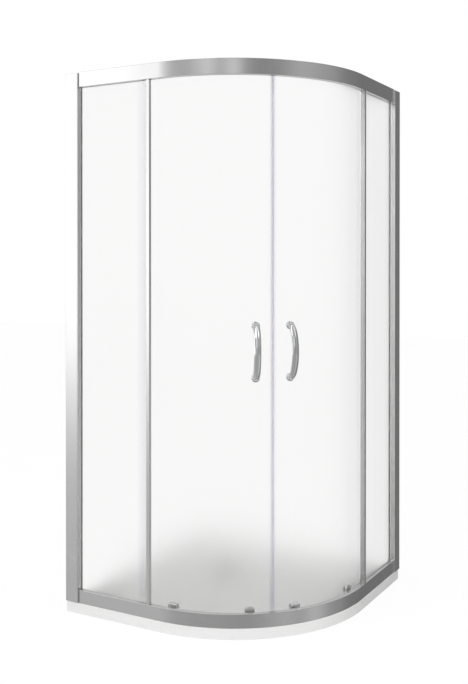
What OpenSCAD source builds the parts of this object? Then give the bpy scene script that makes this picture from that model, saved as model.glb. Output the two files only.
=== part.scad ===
// Quadrant shower enclosure: two fixed panels, two curved sliding doors, a metal frame and a low tray.
// Millimetres, Z up. The origin is under the middle of the enclosure, on the floor.
// Left pieces are drawn in the left frame: x runs from the left wall along the straight rail,
// y runs from the face of the rail into the shower, z runs up from the foot of the metal frame.
// Right pieces are the left ones mirrored across the diagonal of the quadrant.

/* [Enclosure] */
// Side of the quadrant, from the wall to the face of the opposite rail
side_w = 900; // [860:5:1000]
// Radius of the curved rails, at their outer face
curve_r = 515; // [490:5:540]
// Height of the metal frame
frame_h = 1850; // [1700:10:2000]

/* [Rails] */
// Depth of both rails, from face to back
rail_depth = 71; // [71:0.5:76]
// Height of the top rail's face
top_face_h = 52; // [50:1:60]
// Height of the bottom rail's face
bottom_face_h = 46; // [44:0.5:47]
// Thickness of the rails' outer walls
rail_wall = 2.5; // [2:0.1:3]
// Thickness of the rails' inner webs and ledge
rail_web = 2; // [1.5:0.1:2.5]
// Depth at which the door track's ledge begins
ledge_start = 49.3; // [49.2:0.1:50]
// Height of the bottom rail's back wall, which keeps the lower wheels in
back_wall_h = 12; // [8:0.5:13]
// Height of the floor of the glazing slot in the bottom rail
slot_floor_z = 27; // [20:1:30]
// Outer radius of the screw ports inside the rails
port_r = 4.2; // [3.8:0.1:4.5]

/* [Wall profiles] */
// Width of a wall profile's face
profile_w = 53; // [48:1:56]
// How far the wall profiles stand proud of the rails' face
profile_proud = 5; // [4:0.5:9]
// Wall thickness of the wall and adjusting profiles
profile_t = 2; // [1.6:0.1:2.4]
// Sliding gap between a wall profile and its adjusting profile
profile_gap = 0.4; // [0.2:0.1:0.6]
// Distance that the profiles end below the top of the top rail
profile_top_drop = 3.5; // [0:0.5:6]
// Distance that the profiles end above the foot of the bottom rail
profile_foot_gap = 2; // [0:0.5:4]
// Diameter of the holes for the wall screws
wall_hole_d = 5.5; // [4:0.1:7]
// Distance from a profile's ends to its first and last wall hole
wall_hole_end = 120; // [80:5:200]
// Number of wall holes in each profile
wall_holes = 4; // [3:1:6]
// Diameter of the screws that lock the adjusting profiles
lock_screw_d = 3.9; // [3.5:0.1:4.8]
// Distance from a profile's ends to its first and last locking screw
lock_screw_end = 220; // [160:5:300]

/* [Glass] */
// Thickness of the fixed panes
fixed_glass_t = 5; // [4:0.5:6]
// Depth of the fixed panes' outer face behind the rail's face
fixed_depth = 14; // [13.5:0.5:14.5]
// Thickness of the glazing gasket at each side of a fixed pane
gasket_t = 1.5; // [1:0.1:1.8]
// Distance that a fixed pane goes into its slots
glass_bite = 14; // [10:0.5:16]
// Thickness of the door panes
door_glass_t = 5; // [4:0.5:5]
// Depth of the door panes' outer face behind the rail's face
door_depth = 40; // [40:0.5:41]
// Height of the door panes' lower edge above the foot of the frame
door_foot_z = 30; // [29:0.5:33]
// Distance that a door pane reaches behind the fixed pane's post
door_overlap = 48; // [35:1:60]

/* [Posts] */
// Width of the post on a fixed pane's free edge
post_w = 12.5; // [12:0.5:16]
// Depth of the post's front behind the rail's face
post_front = 2.5; // [2:0.5:4]
// Depth of the post's nose, in front of the part that holds the pane
post_nose = 8; // [7:0.5:9]
// Wall thickness of the post
post_t = 2; // [1.5:0.1:2.2]
// Distance from the post to the beginning of the curve
post_setback = 36.5; // [30:0.5:45]

/* [Rollers] */
// Angle from the beginning of the curve to the trailing rollers
trailing_angle = 4; // [3:0.5:8]
// Angle from the beginning of the curve to the leading rollers
leading_angle = 35.5; // [32:0.5:36]
// Diameter of the wheels
wheel_d = 20; // [18:0.5:20]
// Thickness of the wheels
wheel_t = 5; // [4.5:0.1:5.2]
// Depth of the middle of the wheels behind the rail's face
wheel_depth = 56; // [55.5:0.1:56.2]
// Diameter of the axles
axle_d = 5; // [4:0.5:6]
// Running gap between an axle and its wheel, on the radius
axle_fit = 0.05; // [0.03:0.01:0.1]
// Gap between a wheel and the track that it runs on
wheel_gap = 0.3; // [0.2:0.1:0.5]
// Width of the top hangers
hanger_w = 12; // [10:0.5:12]
// Thickness of the hangers' front arm and back leg
hanger_t = 3.5; // [3:0.1:3.5]
// Length of the hangers' back leg behind the glass
hanger_leg_h = 9; // [8.5:0.5:10]
// Distance that the trailing rollers run along the rail when a door opens
door_travel = 235; // [200:5:235]

/* [Lower housings] */
// Width of a lower roller housing
housing_w = 34; // [32:1:40]
// Height of a lower roller housing
housing_h = 22; // [20:1:26]
// Thickness of a lower roller housing
housing_t = 7; // [6.8:0.1:7.4]
// Height of the housings' foot above the foot of the frame
housing_z = 32; // [31.5:0.5:34]
// Width of the sprung release carriage
carriage_w = 14; // [12:1:15]
// Thickness of the sprung release carriage
carriage_t = 3; // [2.5:0.1:3.2]
// Distance that a release carriage can be lifted
release_travel = 12; // [10:0.5:12]
// Width of the release button
button_w = 20; // [16:1:26]
// Height of the release button
button_h = 3.7; // [3:0.1:6]

/* [Handles] */
// Distance between the handle's two feet
handle_pitch = 172; // [120:4:240]
// Height of the handle's middle above the foot of the frame
handle_mid_z = 894; // [800:10:1050]
// Distance from the door pane to the middle line of the bow
handle_standoff = 44; // [36:1:55]
// Width of the bow at its middle
bow_w = 24; // [18:1:28]
// Thickness of the bow at its middle
bow_t = 15; // [10:1:18]
// Diameter of the handle's feet
handle_foot_d = 28; // [26:1:34]
// Angle from the meeting line to the handles
handle_angle = 7.2; // [6:0.2:9]
// Diameter of the handle screws
handle_screw_d = 5; // [4:0.5:6]

/* [Seals] */
// Distance that a seal covers of the glass edge
seal_bite = 6; // [5.5:0.5:8]
// Thickness of the seals at each side of the glass
seal_t = 1.5; // [1:0.1:1.8]
// Distance from the glass edge to the free face of the meeting seal
seal_head = 4; // [3.5:0.5:6]
// Gap between the two meeting seals when the doors are shut
seal_gap = 0.3; // [0.2:0.1:0.6]

/* [Tray] */
// Height of the tray
tray_h = 37; // [35:1:60]
// Width of the tray's flat rim under the rails
tray_rim = 84; // [78:1:100]
// Width of the tray's flat rim along the walls
tray_wall_rim = 50; // [40:1:80]
// Thickness of the tray's floor
tray_floor = 15; // [14:0.5:20]
// Radius of the basin's corners
basin_corner_r = 45; // [20:5:80]
// Diameter of the waste hole
waste_d = 90; // [80:1:95]
// Distance from each wall to the middle of the waste
waste_wall = 300; // [280:10:380]
// Width of the waste's flange round its hole
waste_flange_w = 11; // [9:0.5:15]

/* [Hidden] */

$fn = 64;
// Facets of a full turn of the big curves
big_fn = 720;
// How far a cut reaches past the face that it goes through, in length and in angle
past = 1;
past_angle = 1;
// How far the shapes of one piece run into each other
join = 0.5;
// Gap round a screw in a hole that it passes through, on the radius
screw_gap = 0.2;
// Gap round a bolt or a screw in the door glass, on the radius
glass_hole_gap = 0.5;

half = (side_w + profile_proud) / 2;
straight = side_w - curve_r;
meeting_angle = 45;
roller_angles = [trailing_angle, leading_angle];

// Glazing slot of the rails and profiles, in depth
slot_front = fixed_depth - gasket_t;
slot_back = fixed_depth + fixed_glass_t + gasket_t;
slot_pad = 2.5;
top_face_z = frame_h - top_face_h;
bottom_pane_z = slot_floor_z + rail_wall + slot_pad;
top_pane_z = top_face_z + glass_bite;

// Door track
wheel_headroom = 4.7;
ledge_z = frame_h - rail_wall - wheel_headroom - wheel_d - wheel_gap - rail_wall;
ledge_top_z = ledge_z + rail_wall;
top_axle_z = ledge_top_z + wheel_gap + wheel_d / 2;
lower_axle_z = rail_wall + wheel_gap + wheel_d / 2;
pane_under_ledge = 5;
door_top_z = ledge_z - pane_under_ledge;
door_h = door_top_z - door_foot_z;

// Fixed panels
infill_h = 4;
post_end_wall = 6;
post_step = 4;
gasket_end_gap = 1;
post_end = straight - post_setback;
post_start = post_end - post_w;
door_edge = post_end - door_overlap;
pane_end = post_end - post_end_wall;
pane_start = profile_w - profile_t - glass_bite;
post_nose_back = post_front + post_nose;
post_back = fixed_depth + fixed_glass_t + post_t;

// Profiles
profile_bottom_z = profile_foot_gap;
profile_top_z = frame_h - profile_top_drop;
profile_len = profile_top_z - profile_bottom_z;
adjusting_step = 1;
adjusting_start = 8;
adjusting_back = slot_back + profile_t + adjusting_step;
wall_back = adjusting_back + profile_gap + profile_t;
flange_gap = 0.3;
wall_flange_end = profile_w - profile_t - flange_gap;
lock_screws = 3;
lock_screw_gap = 0.05;
lock_x = 20;
back_flange_w = 30;
lock_tip = 6;
cap_d = 13;
cap_h = 4;
cap_fit = 0.2;
lock_head_d = 8;
lock_head_h = 2;

// Rail screws
port_bore_r = 1.8;
port_sink = 0.2;
port_depth = (rail_wall + slot_front - rail_web) / 2;
port_rise = rail_wall + port_r - port_sink;
rail_screw_len = 26;
rail_screw_head_d = 7;
rail_screw_head_h = 2.5;
port_heights = [port_rise, frame_h - port_rise];

// Hangers
hanger_back_gap = 0.2;
hanger_bridge_t = 3;
hanger_bridge_gap = 0.5;
hanger_crown = 7;
hanger_front_drop = 8;
hanger_top = top_axle_z + hanger_crown;
hanger_front_z = door_top_z - hanger_front_drop;
grub_d = 4;
grub_head_d = 7;
grub_head_h = 2.5;
grub_inset = 4.5;
axle_tail = 1;
axle_head_d = 8;
axle_head_t = 1;

// Lower housings, in depth from the rail's face
housing_front = door_depth - housing_t;
housing_top = housing_z + housing_h;
carriage_front = housing_front + (housing_t - carriage_t) / 2;
carriage_play = 0.3;
carriage_chin = 6;
carriage_foot = lower_axle_z - carriage_chin;
bolt_d = 4;
bolt_skin = 2;
bolt_x = 12.5;
bolt_z = housing_z + housing_h / 2;
bolt_head_d = 7;
bolt_head_h = 2.5;
clamp_t = 3;
clamp_gap = 0.5;
clamp_inset = 3;
rib_drop = 5;
rib_z = housing_top - rib_drop;
rib_h = 2;
rib_gap = 0.6;
spring_gap = 0.1;
// Length of a release spring when its carriage is lifted
spring_shut = 20;
window_w = 4.6;
window_foot = rib_z - spring_shut - release_travel;
window_gap = 0.5;
button_gap = 0.3;
button_inset = 0.5;
spring_d = 2.6;
spring_wire = 0.6;
spring_turns = 7;
spring_steps = 8;
spring_sides = 4;

// Handle
handle_foot_t = 8;
washer_t = 1;
bow_rings = 28;
bow_sides = 20;
bow_end_t = 20;
bow_sink = 4;
bow_flare = 6;
bow_start = washer_t + handle_foot_t - bow_sink;
bow_rise = handle_standoff - bow_start;
washer_rim = 2;
washer_gap = 0.1;
washer_slack = 0.02;
handle_screw_depth = 14;
handle_screw_end_gap = 2;
handle_screw_head_d = 16;
handle_screw_head_h = 4;
handle_heights = [handle_mid_z - handle_pitch / 2, handle_mid_z + handle_pitch / 2];

// Seals, which keep clear of the rails
seal_rail_gap = 3;
seal_end_inset = 2;
trailing_reach = seal_bite;
seal_foot_z = bottom_face_h + seal_rail_gap;
seal_top_z = top_face_z - seal_rail_gap;
seal_fin_gap = 0.6;
seal_fin_t = 1;
lead_edge_back = seal_head + seal_gap;
door_mid_r = curve_r - door_depth - door_glass_t / 2;
lead_angle = meeting_angle - lead_edge_back / door_mid_r * 180 / PI;
seal_face_angle = meeting_angle - seal_gap / door_mid_r * 180 / PI;
seal_bite_angle = lead_angle - seal_bite / door_mid_r * 180 / PI;

// Stops of the top rail, which meet the trailing top wheels when the doors are open
stop_len = 8;
stop_gap = 0.6;
stop_h = 16;
stop_front = 52;
trailing_wheel_x = straight + (curve_r - wheel_depth) * sin(trailing_angle);
stop_x = trailing_wheel_x - door_travel - wheel_d / 2 - stop_gap - stop_len;

// Waste
waste_fn = 120;
waste_flange_d = waste_d + 2 * waste_flange_w;
flange_t = 3;
tube_foot = 1;
tube_gap = 3;
tube_wall = 4;
flange_tube_d = waste_d - 2 * tube_gap;
flange_bore_d = flange_tube_d - 2 * tube_wall;
waste_seal_t = 1.5;
lip_h = 1.5;
lip_t = 2.5;
cover_inset = 2;
cover_d = waste_flange_d - 2 * cover_inset;
cover_t = 3;
cover_lift = 5;
cover_feet = 3;
first_foot_angle = 90;
foot_gap = 0.3;
foot_side_gap = 0.5;
foot_len = 10;
foot_w = 8;
dish_r = 190;
dish_fn = 180;
dish_edge = 4;
dish_drop = 3;
waste_recess_gap = 0.5;

alloy = [0.66, 0.67, 0.66];
chrome = [0.78, 0.79, 0.80];
frosted = [0.93, 0.94, 0.94, 0.75];
clear_seal = [0.84, 0.83, 0.87, 0.8];
white = [0.93, 0.93, 0.92];
nylon = [0.90, 0.90, 0.88];
steel = [0.62, 0.63, 0.64];
rubber = [0.25, 0.25, 0.26];

// Left and right frames
module left() {
    translate([-half, -half + profile_proud, tray_h]) children();
}

module right() {
    mirror([1, 1, 0]) left() children();
}

// Frame on the curve: x along the curve, y into the shower from the rail's face
module on_curve(angle) {
    translate([straight, curve_r, 0]) rotate([0, 0, angle]) translate([0, -curve_r, 0]) children();
}

// Cylinder that runs into the shower, from depth a to depth b
module in_depth(a, b, d) {
    translate([0, a, 0]) rotate([-90, 0, 0]) cylinder(d = d, h = b - a);
}

// Curved wall from angle a to angle b, from depth d and of thickness t
module curved_wall(a, b, d, t, z, h) {
    translate([straight, curve_r, z]) rotate([0, 0, a - 90])
        rotate_extrude(angle = b - a, $fn = big_fn) translate([curve_r - d - t, 0]) square([t, h]);
}

// Rectangle of a rail's section: from depth a to b, from height c to e
module bar(a, b, c, e) {
    translate([a, c]) square([b - a, e - c]);
}

// Sweeps a section, drawn in depth and height, along one straight, the curve and the other straight
module along_rail(from) {
    left() {
        translate([from, 0, 0]) rotate([90, 0, 90]) linear_extrude(straight - from) children();
        translate([straight, curve_r, 0]) rotate([0, 0, -90]) rotate_extrude(angle = 90, $fn = big_fn)
            translate([curve_r, 0]) mirror([1, 0]) children();
    }
    right() translate([from, 0, 0]) rotate([90, 0, 90]) linear_extrude(straight - from) children();
}

// Outline of the quadrant, drawn back by one distance from the rails and another from the walls
module quadrant(rail_inset, wall_inset) {
    span = side_w - rail_inset - wall_inset;
    translate([wall_inset, rail_inset]) square([straight - wall_inset, span]);
    translate([wall_inset, curve_r]) square([span, side_w - wall_inset - curve_r]);
    intersection() {
        translate([straight, curve_r]) circle(r = curve_r - rail_inset, $fn = big_fn);
        translate([straight, rail_inset]) square(curve_r - rail_inset);
    }
}

// Cuts a square corner back to a round one; sx and sy point into the basin
module corner_cut(x, y, sx, sy) {
    translate([x, y]) scale([sx, sy]) difference() {
        translate([-past, -past]) square(basin_corner_r + past);
        translate([basin_corner_r, basin_corner_r]) circle(r = basin_corner_r);
    }
}

module basin_outline() {
    far = side_w - tray_wall_rim;
    difference() {
        quadrant(tray_rim, tray_wall_rim);
        corner_cut(tray_wall_rim, tray_rim, 1, 1);
        corner_cut(tray_wall_rim, far, 1, -1);
        corner_cut(side_w - tray_rim, far, -1, -1);
    }
}

module at_waste() {
    translate([-half + waste_wall, half - waste_wall, 0]) children();
}

// Tray with a flat rim, a basin, a shallow dish and the seat of the waste
module shower_tray() {
    color(white) difference() {
        translate([-half, -half + profile_proud, 0]) linear_extrude(tray_h) quadrant(0, 0);
        translate([-half, -half + profile_proud, tray_floor + dish_drop])
            linear_extrude(tray_h) basin_outline();
        at_waste() {
            translate([0, 0, tray_floor])
                cylinder(r1 = waste_flange_d / 2 + dish_edge, r2 = dish_r, h = dish_drop, $fn = dish_fn);
            translate([0, 0, tray_floor - flange_t - waste_seal_t])
                cylinder(d = waste_flange_d + 2 * waste_recess_gap, h = tray_h, $fn = waste_fn);
            translate([0, 0, -past]) cylinder(d = waste_d, h = tray_h, $fn = waste_fn);
        }
    }
}

module waste_seal() {
    color(rubber) at_waste() translate([0, 0, tray_floor - flange_t - waste_seal_t]) difference() {
        cylinder(d = waste_flange_d, h = waste_seal_t, $fn = waste_fn);
        translate([0, 0, -past]) cylinder(d = waste_d, h = waste_seal_t + 2 * past, $fn = waste_fn);
    }
}

// Flange with a lip round the cover's feet and the tail that the trap joins
module waste_flange() {
    color(chrome) at_waste() difference() {
        union() {
            translate([0, 0, tray_floor - flange_t])
                cylinder(d = waste_flange_d, h = flange_t + lip_h, $fn = waste_fn);
            translate([0, 0, tube_foot])
                cylinder(d = flange_tube_d, h = tray_floor - tube_foot, $fn = waste_fn);
        }
        cylinder(d = flange_bore_d, h = tray_h, $fn = waste_fn);
        translate([0, 0, tray_floor]) cylinder(d = waste_flange_d - 2 * lip_t, h = tray_h, $fn = waste_fn);
    }
}

// Cover that lifts off, standing on its feet inside the flange's lip
module waste_cover() {
    reach = waste_flange_d / 2 - lip_t - foot_side_gap;
    color(chrome) at_waste() {
        translate([0, 0, tray_floor + cover_lift]) cylinder(d = cover_d, h = cover_t, $fn = waste_fn);
        for (k = [0 : cover_feet - 1]) rotate([0, 0, 360 * k / cover_feet + first_foot_angle])
            translate([reach - foot_len, -foot_w / 2, tray_floor + foot_gap])
                cube([foot_len, foot_w, cover_lift + join - foot_gap]);
    }
}

// Heights of n holes spread between two ends
function spread(n, end) = [for (k = [0 : n - 1])
    profile_bottom_z + end + k * (profile_len - 2 * end) / (n - 1)];

// Channel that is screwed to the wall
module wall_profile() {
    web_y = (slot_front - profile_proud) / 2;
    color(alloy) difference() {
        translate([0, 0, profile_bottom_z]) linear_extrude(profile_len) {
            bar(0, profile_t, -profile_proud, wall_back);
            bar(0, wall_flange_end, -profile_proud, -profile_proud + profile_t);
            bar(0, back_flange_w, wall_back - profile_t, wall_back);
        }
        for (z = spread(wall_holes, wall_hole_end)) translate([-past, web_y, z]) rotate([0, 90, 0])
            cylinder(d = wall_hole_d, h = profile_t + 2 * past);
        for (z = spread(lock_screws, lock_screw_end)) translate([lock_x, 0, z])
            in_depth(adjusting_back, wall_back + past, lock_screw_d + 2 * lock_screw_gap);
    }
}

// Profile that slides in the wall profile, takes up the wall's lean and holds the pane and the rails
module adjusting_profile() {
    front = -profile_proud + profile_t + profile_gap;
    slot_start = pane_start - slot_pad;
    color(alloy) difference() {
        translate([0, 0, profile_bottom_z]) linear_extrude(profile_len) difference() {
            union() {
                bar(profile_w - profile_t, profile_w, -profile_proud, adjusting_back);
                bar(adjusting_start, profile_w, front, front + profile_t);
                bar(adjusting_start, profile_w, adjusting_back - profile_t, adjusting_back);
                bar(slot_start - profile_t, profile_w, slot_front - profile_t, slot_front);
                bar(slot_start - profile_t, profile_w, slot_back, slot_back + profile_t);
                bar(slot_start - profile_t, slot_start, slot_front, slot_back);
            }
            bar(slot_start, profile_w + past, slot_front, slot_back);
        }
        for (z = spread(lock_screws, lock_screw_end)) translate([lock_x, 0, z])
            in_depth(slot_back - past, adjusting_back + past, lock_screw_d);
        for (z = port_heights)
            translate([profile_w - profile_t - past, port_depth, z]) rotate([0, 90, 0])
                cylinder(r = port_bore_r + screw_gap, h = profile_t + 2 * past);
    }
}

// Screws that lock the adjusting profiles in the wall profiles
module locking_screws_side() {
    for (z = spread(lock_screws, lock_screw_end)) translate([lock_x, 0, z]) {
        in_depth(adjusting_back - lock_tip, wall_back + join, lock_screw_d);
        in_depth(wall_back, wall_back + lock_head_h, lock_head_d);
    }
}

module locking_screws() {
    color(steel) {
        left() locking_screws_side();
        right() locking_screws_side();
    }
}

// Caps that are pushed over the locking screws' heads
module screw_caps_side() {
    for (z = spread(lock_screws, lock_screw_end)) translate([lock_x, 0, z]) difference() {
        in_depth(wall_back, wall_back + cap_h, cap_d);
        in_depth(wall_back - past, wall_back + lock_head_h + cap_fit, lock_head_d + cap_fit);
    }
}

module screw_caps() {
    color(chrome) {
        left() screw_caps_side();
        right() screw_caps_side();
    }
}

// Top rail: hollow front box with a screw port, glazing slot, and the ledge that the wheels run on
module top_rail_section() {
    difference() {
        union() {
            bar(0, rail_wall, top_face_z, frame_h);
            bar(0, rail_depth, frame_h - rail_wall, frame_h);
            bar(0, slot_front, top_face_z, top_face_z + rail_wall);
            bar(slot_front - rail_web, slot_front, top_face_z, frame_h);
            bar(slot_back, slot_back + rail_web, top_face_z, frame_h);
            bar(rail_depth - rail_web, rail_depth, ledge_z, frame_h);
            bar(ledge_start, rail_depth, ledge_z, ledge_top_z);
            translate([port_depth, frame_h - port_rise]) circle(r = port_r);
        }
        translate([port_depth, frame_h - port_rise]) circle(r = port_bore_r);
    }
}

module top_rail() {
    color(alloy) along_rail(profile_w) top_rail_section();
}

// Bottom rail: hollow front box with a screw port, glazing slot, and an open channel for the lower wheels
module bottom_rail_section() {
    difference() {
        union() {
            bar(0, rail_wall, 0, bottom_face_h);
            bar(0, rail_depth, 0, rail_wall);
            bar(0, slot_front, bottom_face_h - rail_wall, bottom_face_h);
            bar(slot_front - rail_web, slot_front, 0, bottom_face_h);
            bar(slot_back, slot_back + rail_web, 0, bottom_face_h - rail_wall);
            bar(slot_front, slot_back, slot_floor_z, slot_floor_z + rail_wall);
            bar(rail_depth - rail_web, rail_depth, 0, back_wall_h);
            translate([port_depth, port_rise]) circle(r = port_r);
        }
        translate([port_depth, port_rise]) circle(r = port_bore_r);
    }
}

module bottom_rail() {
    color(alloy) along_rail(profile_w) bottom_rail_section();
}

// Screws through the adjusting profiles into the rails' ports
module rail_screws_side() {
    for (z = port_heights) translate([profile_w - profile_t, port_depth, z]) rotate([0, 90, 0]) {
        cylinder(r = port_bore_r, h = rail_screw_len);
        translate([0, 0, -rail_screw_head_h]) cylinder(d = rail_screw_head_d, h = rail_screw_head_h);
    }
}

module rail_screws() {
    color(steel) {
        left() rail_screws_side();
        right() rail_screws_side();
    }
}

// Strips that close the glazing slot between the two posts
module infill_strips() {
    top = bottom_face_h - rail_wall;
    color(alloy) {
        along_rail(post_end) bar(slot_front, slot_back, top_face_z, top_face_z + infill_h);
        along_rail(post_end) bar(slot_front, slot_back, top - infill_h, top);
    }
}

// Flat fixed pane, held at three edges and in the post
module fixed_glass() {
    color(frosted) translate([pane_start, fixed_depth, bottom_pane_z])
        cube([pane_end - pane_start, fixed_glass_t, top_pane_z - bottom_pane_z]);
}

// Post on the free edge of the fixed pane: a hollow nose in front and a narrower part that holds the pane
module glass_post() {
    color(alloy) translate([0, 0, bottom_face_h]) linear_extrude(top_face_z - bottom_face_h) difference() {
        union() {
            bar(post_start, post_end, post_front, post_nose_back);
            bar(post_start, post_end - post_step, post_nose_back, post_back);
        }
        bar(post_start - past, pane_end, fixed_depth, fixed_depth + fixed_glass_t);
        bar(post_start + post_t, post_end - post_t, post_front + post_t, post_nose_back - post_t);
    }
}

// Gaskets round the fixed pane: one in each rail and one in the adjusting profile
module glazing_gaskets_side() {
    rail_len = post_start - profile_w - 2 * gasket_end_gap;
    side_len = top_face_z - bottom_face_h - 2 * gasket_end_gap;
    slot = slot_back - slot_front;
    difference() {
        union() {
            translate([profile_w + gasket_end_gap, slot_front, slot_floor_z + rail_wall])
                cube([rail_len, slot, bottom_face_h - rail_wall - slot_floor_z - rail_wall]);
            translate([profile_w + gasket_end_gap, slot_front, top_face_z])
                cube([rail_len, slot, glass_bite + slot_pad]);
            translate([pane_start - slot_pad, slot_front, bottom_face_h + gasket_end_gap])
                cube([profile_w - pane_start + slot_pad, slot, side_len]);
        }
        translate([pane_start, fixed_depth, bottom_pane_z])
            cube([side_w, fixed_glass_t, top_pane_z - bottom_pane_z]);
    }
}

module glazing_gaskets() {
    color(clear_seal) {
        left() glazing_gaskets_side();
        right() glazing_gaskets_side();
    }
}

// Rubber blocks on the ledge that end each door's travel
module door_stop() {
    translate([stop_x, stop_front, ledge_top_z])
        cube([stop_len, rail_depth - rail_web - stop_front, stop_h]);
}

module door_stops() {
    color(rubber) {
        left() door_stop();
        right() door_stop();
    }
}

// Bent door pane: flat behind the fixed pane, then curved up to the meeting line
module door_glass() {
    back = door_depth + door_glass_t;
    color(frosted) difference() {
        union() {
            translate([door_edge, door_depth, door_foot_z])
                cube([straight - door_edge, door_glass_t, door_h]);
            curved_wall(0, lead_angle, door_depth, door_glass_t, door_foot_z, door_h);
        }
        for (z = handle_heights) on_curve(meeting_angle - handle_angle) translate([0, 0, z])
            in_depth(door_depth - past, back + past, handle_screw_d + 2 * glass_hole_gap);
        for (a = roller_angles, x = [-bolt_x, bolt_x]) on_curve(a) translate([x, 0, bolt_z])
            in_depth(door_depth - past, back + past, bolt_d + 2 * glass_hole_gap);
    }
}

// Middle line of the bow: t runs along its half ellipse, from -90 at one foot to 90 at the other
function bow_point(t) = [0, -bow_start - bow_rise * cos(t), handle_pitch / 2 * sin(t)];
function bow_slope(t) = atan2(handle_pitch / 2 * cos(t), bow_rise * sin(t));
function bow_ring(t) =
    let (c = bow_point(t), end = pow(abs(sin(t)), bow_flare), tilt = bow_slope(t),
        h = bow_t + (bow_end_t - bow_t) * end)
    [for (k = [0 : bow_sides - 1]) let (s = -360 * k / bow_sides, v = h / 2 * sin(s))
        [c[0] + bow_w / 2 * cos(s), c[1] - v * sin(tilt), c[2] + v * cos(tilt)]];

// Triangles of a tube of n sides between its rings 0 and last, with flat ends
function tube_faces(n, last) = concat(
    [for (k = [1 : n - 2]) [0, k, k + 1]],
    [for (r = [0 : last - 1], k = [0 : n - 1]) each [
        [r * n + k, (r + 1) * n + k, (r + 1) * n + (k + 1) % n],
        [r * n + k, (r + 1) * n + (k + 1) % n, r * n + (k + 1) % n]]],
    [for (k = [1 : n - 2]) [last * n, last * n + k + 1, last * n + k]]);

module bow() {
    rings = [for (k = [0 : bow_rings]) each bow_ring(-90 + 180 * k / bow_rings)];
    polyhedron(rings, tube_faces(bow_sides, bow_rings));
}

module handle() {
    color(chrome) on_curve(meeting_angle - handle_angle) translate([0, door_depth, 0]) difference() {
        union() {
            translate([0, 0, handle_mid_z]) bow();
            for (z = handle_heights) translate([0, 0, z])
                in_depth(-washer_t - handle_foot_t, -washer_t, handle_foot_d);
        }
        for (z = handle_heights) translate([0, 0, z])
            in_depth(-washer_t - handle_screw_depth, past, handle_screw_d);
    }
}

// Clear washers at both sides of the door pane
module handle_washers() {
    outer = door_depth - washer_t;
    inner = door_depth + door_glass_t + washer_gap;
    color(clear_seal) for (z = handle_heights, y = [outer, inner])
        on_curve(meeting_angle - handle_angle) translate([0, 0, z]) difference() {
            in_depth(y, y + washer_t - washer_slack, handle_screw_head_d + 2 * washer_rim);
            in_depth(y - past, y + washer_t + past, handle_screw_d + 2 * screw_gap);
        }
}

// Screws from inside the shower into the handle's feet
module handle_screws() {
    seat = door_depth + door_glass_t + washer_gap + washer_t;
    tip = door_depth - washer_t - handle_screw_depth + handle_screw_end_gap;
    color(chrome) for (z = handle_heights)
        on_curve(meeting_angle - handle_angle) translate([0, 0, z]) {
            in_depth(tip, seat + join, handle_screw_d);
            in_depth(seat, seat + handle_screw_head_h, handle_screw_head_d);
        }
}

// Magnetic seal on the leading edge, which meets the other door's seal
module meeting_seal() {
    color(clear_seal) difference() {
        curved_wall(seal_bite_angle, seal_face_angle, door_depth - seal_t,
            door_glass_t + 2 * seal_t, door_foot_z + seal_end_inset, door_h - 2 * seal_end_inset);
        curved_wall(seal_bite_angle - past_angle, lead_angle, door_depth, door_glass_t, 0, frame_h);
    }
}

// Seal on the trailing edge, with a lip that reaches to the fixed pane
module trailing_seal() {
    fin_tip = fixed_depth + fixed_glass_t + seal_fin_gap;
    start = door_edge - trailing_reach;
    color(clear_seal) translate([0, 0, seal_foot_z]) linear_extrude(seal_top_z - seal_foot_z) {
        difference() {
            bar(start, door_edge + trailing_reach, door_depth - seal_t, door_depth + door_glass_t + seal_t);
            bar(door_edge, straight, door_depth, door_depth + door_glass_t);
        }
        bar(start, start + seal_fin_t, fin_tip, door_depth);
    }
}

// Hanger that clamps the top edge of the door pane and carries a wheel above it
module top_hanger() {
    leg = door_depth + door_glass_t + hanger_back_gap;
    bridge_z = door_top_z + hanger_bridge_gap;
    difference() {
        union() {
            translate([-hanger_w / 2, door_depth - hanger_t, hanger_front_z])
                cube([hanger_w, hanger_t, hanger_top - hanger_front_z]);
            translate([-hanger_w / 2, door_depth - hanger_t, bridge_z])
                cube([hanger_w, leg + hanger_t - door_depth + hanger_t, hanger_bridge_t]);
            translate([-hanger_w / 2, leg, door_top_z - hanger_leg_h])
                cube([hanger_w, hanger_t, bridge_z + hanger_bridge_t - door_top_z + hanger_leg_h]);
        }
        translate([0, 0, top_axle_z]) in_depth(door_depth - hanger_t - past, door_depth + past, axle_d);
        translate([0, 0, door_top_z - grub_inset]) in_depth(leg - past, leg + hanger_t + past, grub_d);
    }
}

module top_hangers() {
    color(steel) for (a = roller_angles) on_curve(a) top_hanger();
}

// Screws that press the hangers onto the glass from inside the shower, one to each
module hanger_screws() {
    leg = door_depth + door_glass_t + hanger_back_gap;
    color(steel) for (a = roller_angles) on_curve(a) translate([0, 0, door_top_z - grub_inset]) {
        in_depth(leg, leg + hanger_t + join, grub_d);
        in_depth(leg + hanger_t, leg + hanger_t + grub_head_h, grub_head_d);
    }
}

// Axles of the top wheels, riveted in the hangers
module top_axles() {
    color(steel) for (a = roller_angles) on_curve(a) translate([0, 0, top_axle_z]) {
        in_depth(door_depth - hanger_t, wheel_depth + wheel_t / 2 + axle_tail, axle_d);
        in_depth(wheel_depth + wheel_t / 2 + wheel_gap, wheel_depth + wheel_t / 2 + wheel_gap + axle_head_t,
            axle_head_d);
        in_depth(door_depth, wheel_depth - wheel_t / 2 - wheel_gap, axle_head_d);
    }
}

// Wheel with a bore, centred on its axle
module wheel() {
    difference() {
        in_depth(-wheel_t / 2, wheel_t / 2, wheel_d);
        in_depth(-wheel_t, wheel_t, axle_d + 2 * axle_fit);
    }
}

module top_wheel(angle) {
    color(nylon) on_curve(angle) translate([0, wheel_depth, top_axle_z]) wheel();
}

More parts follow.
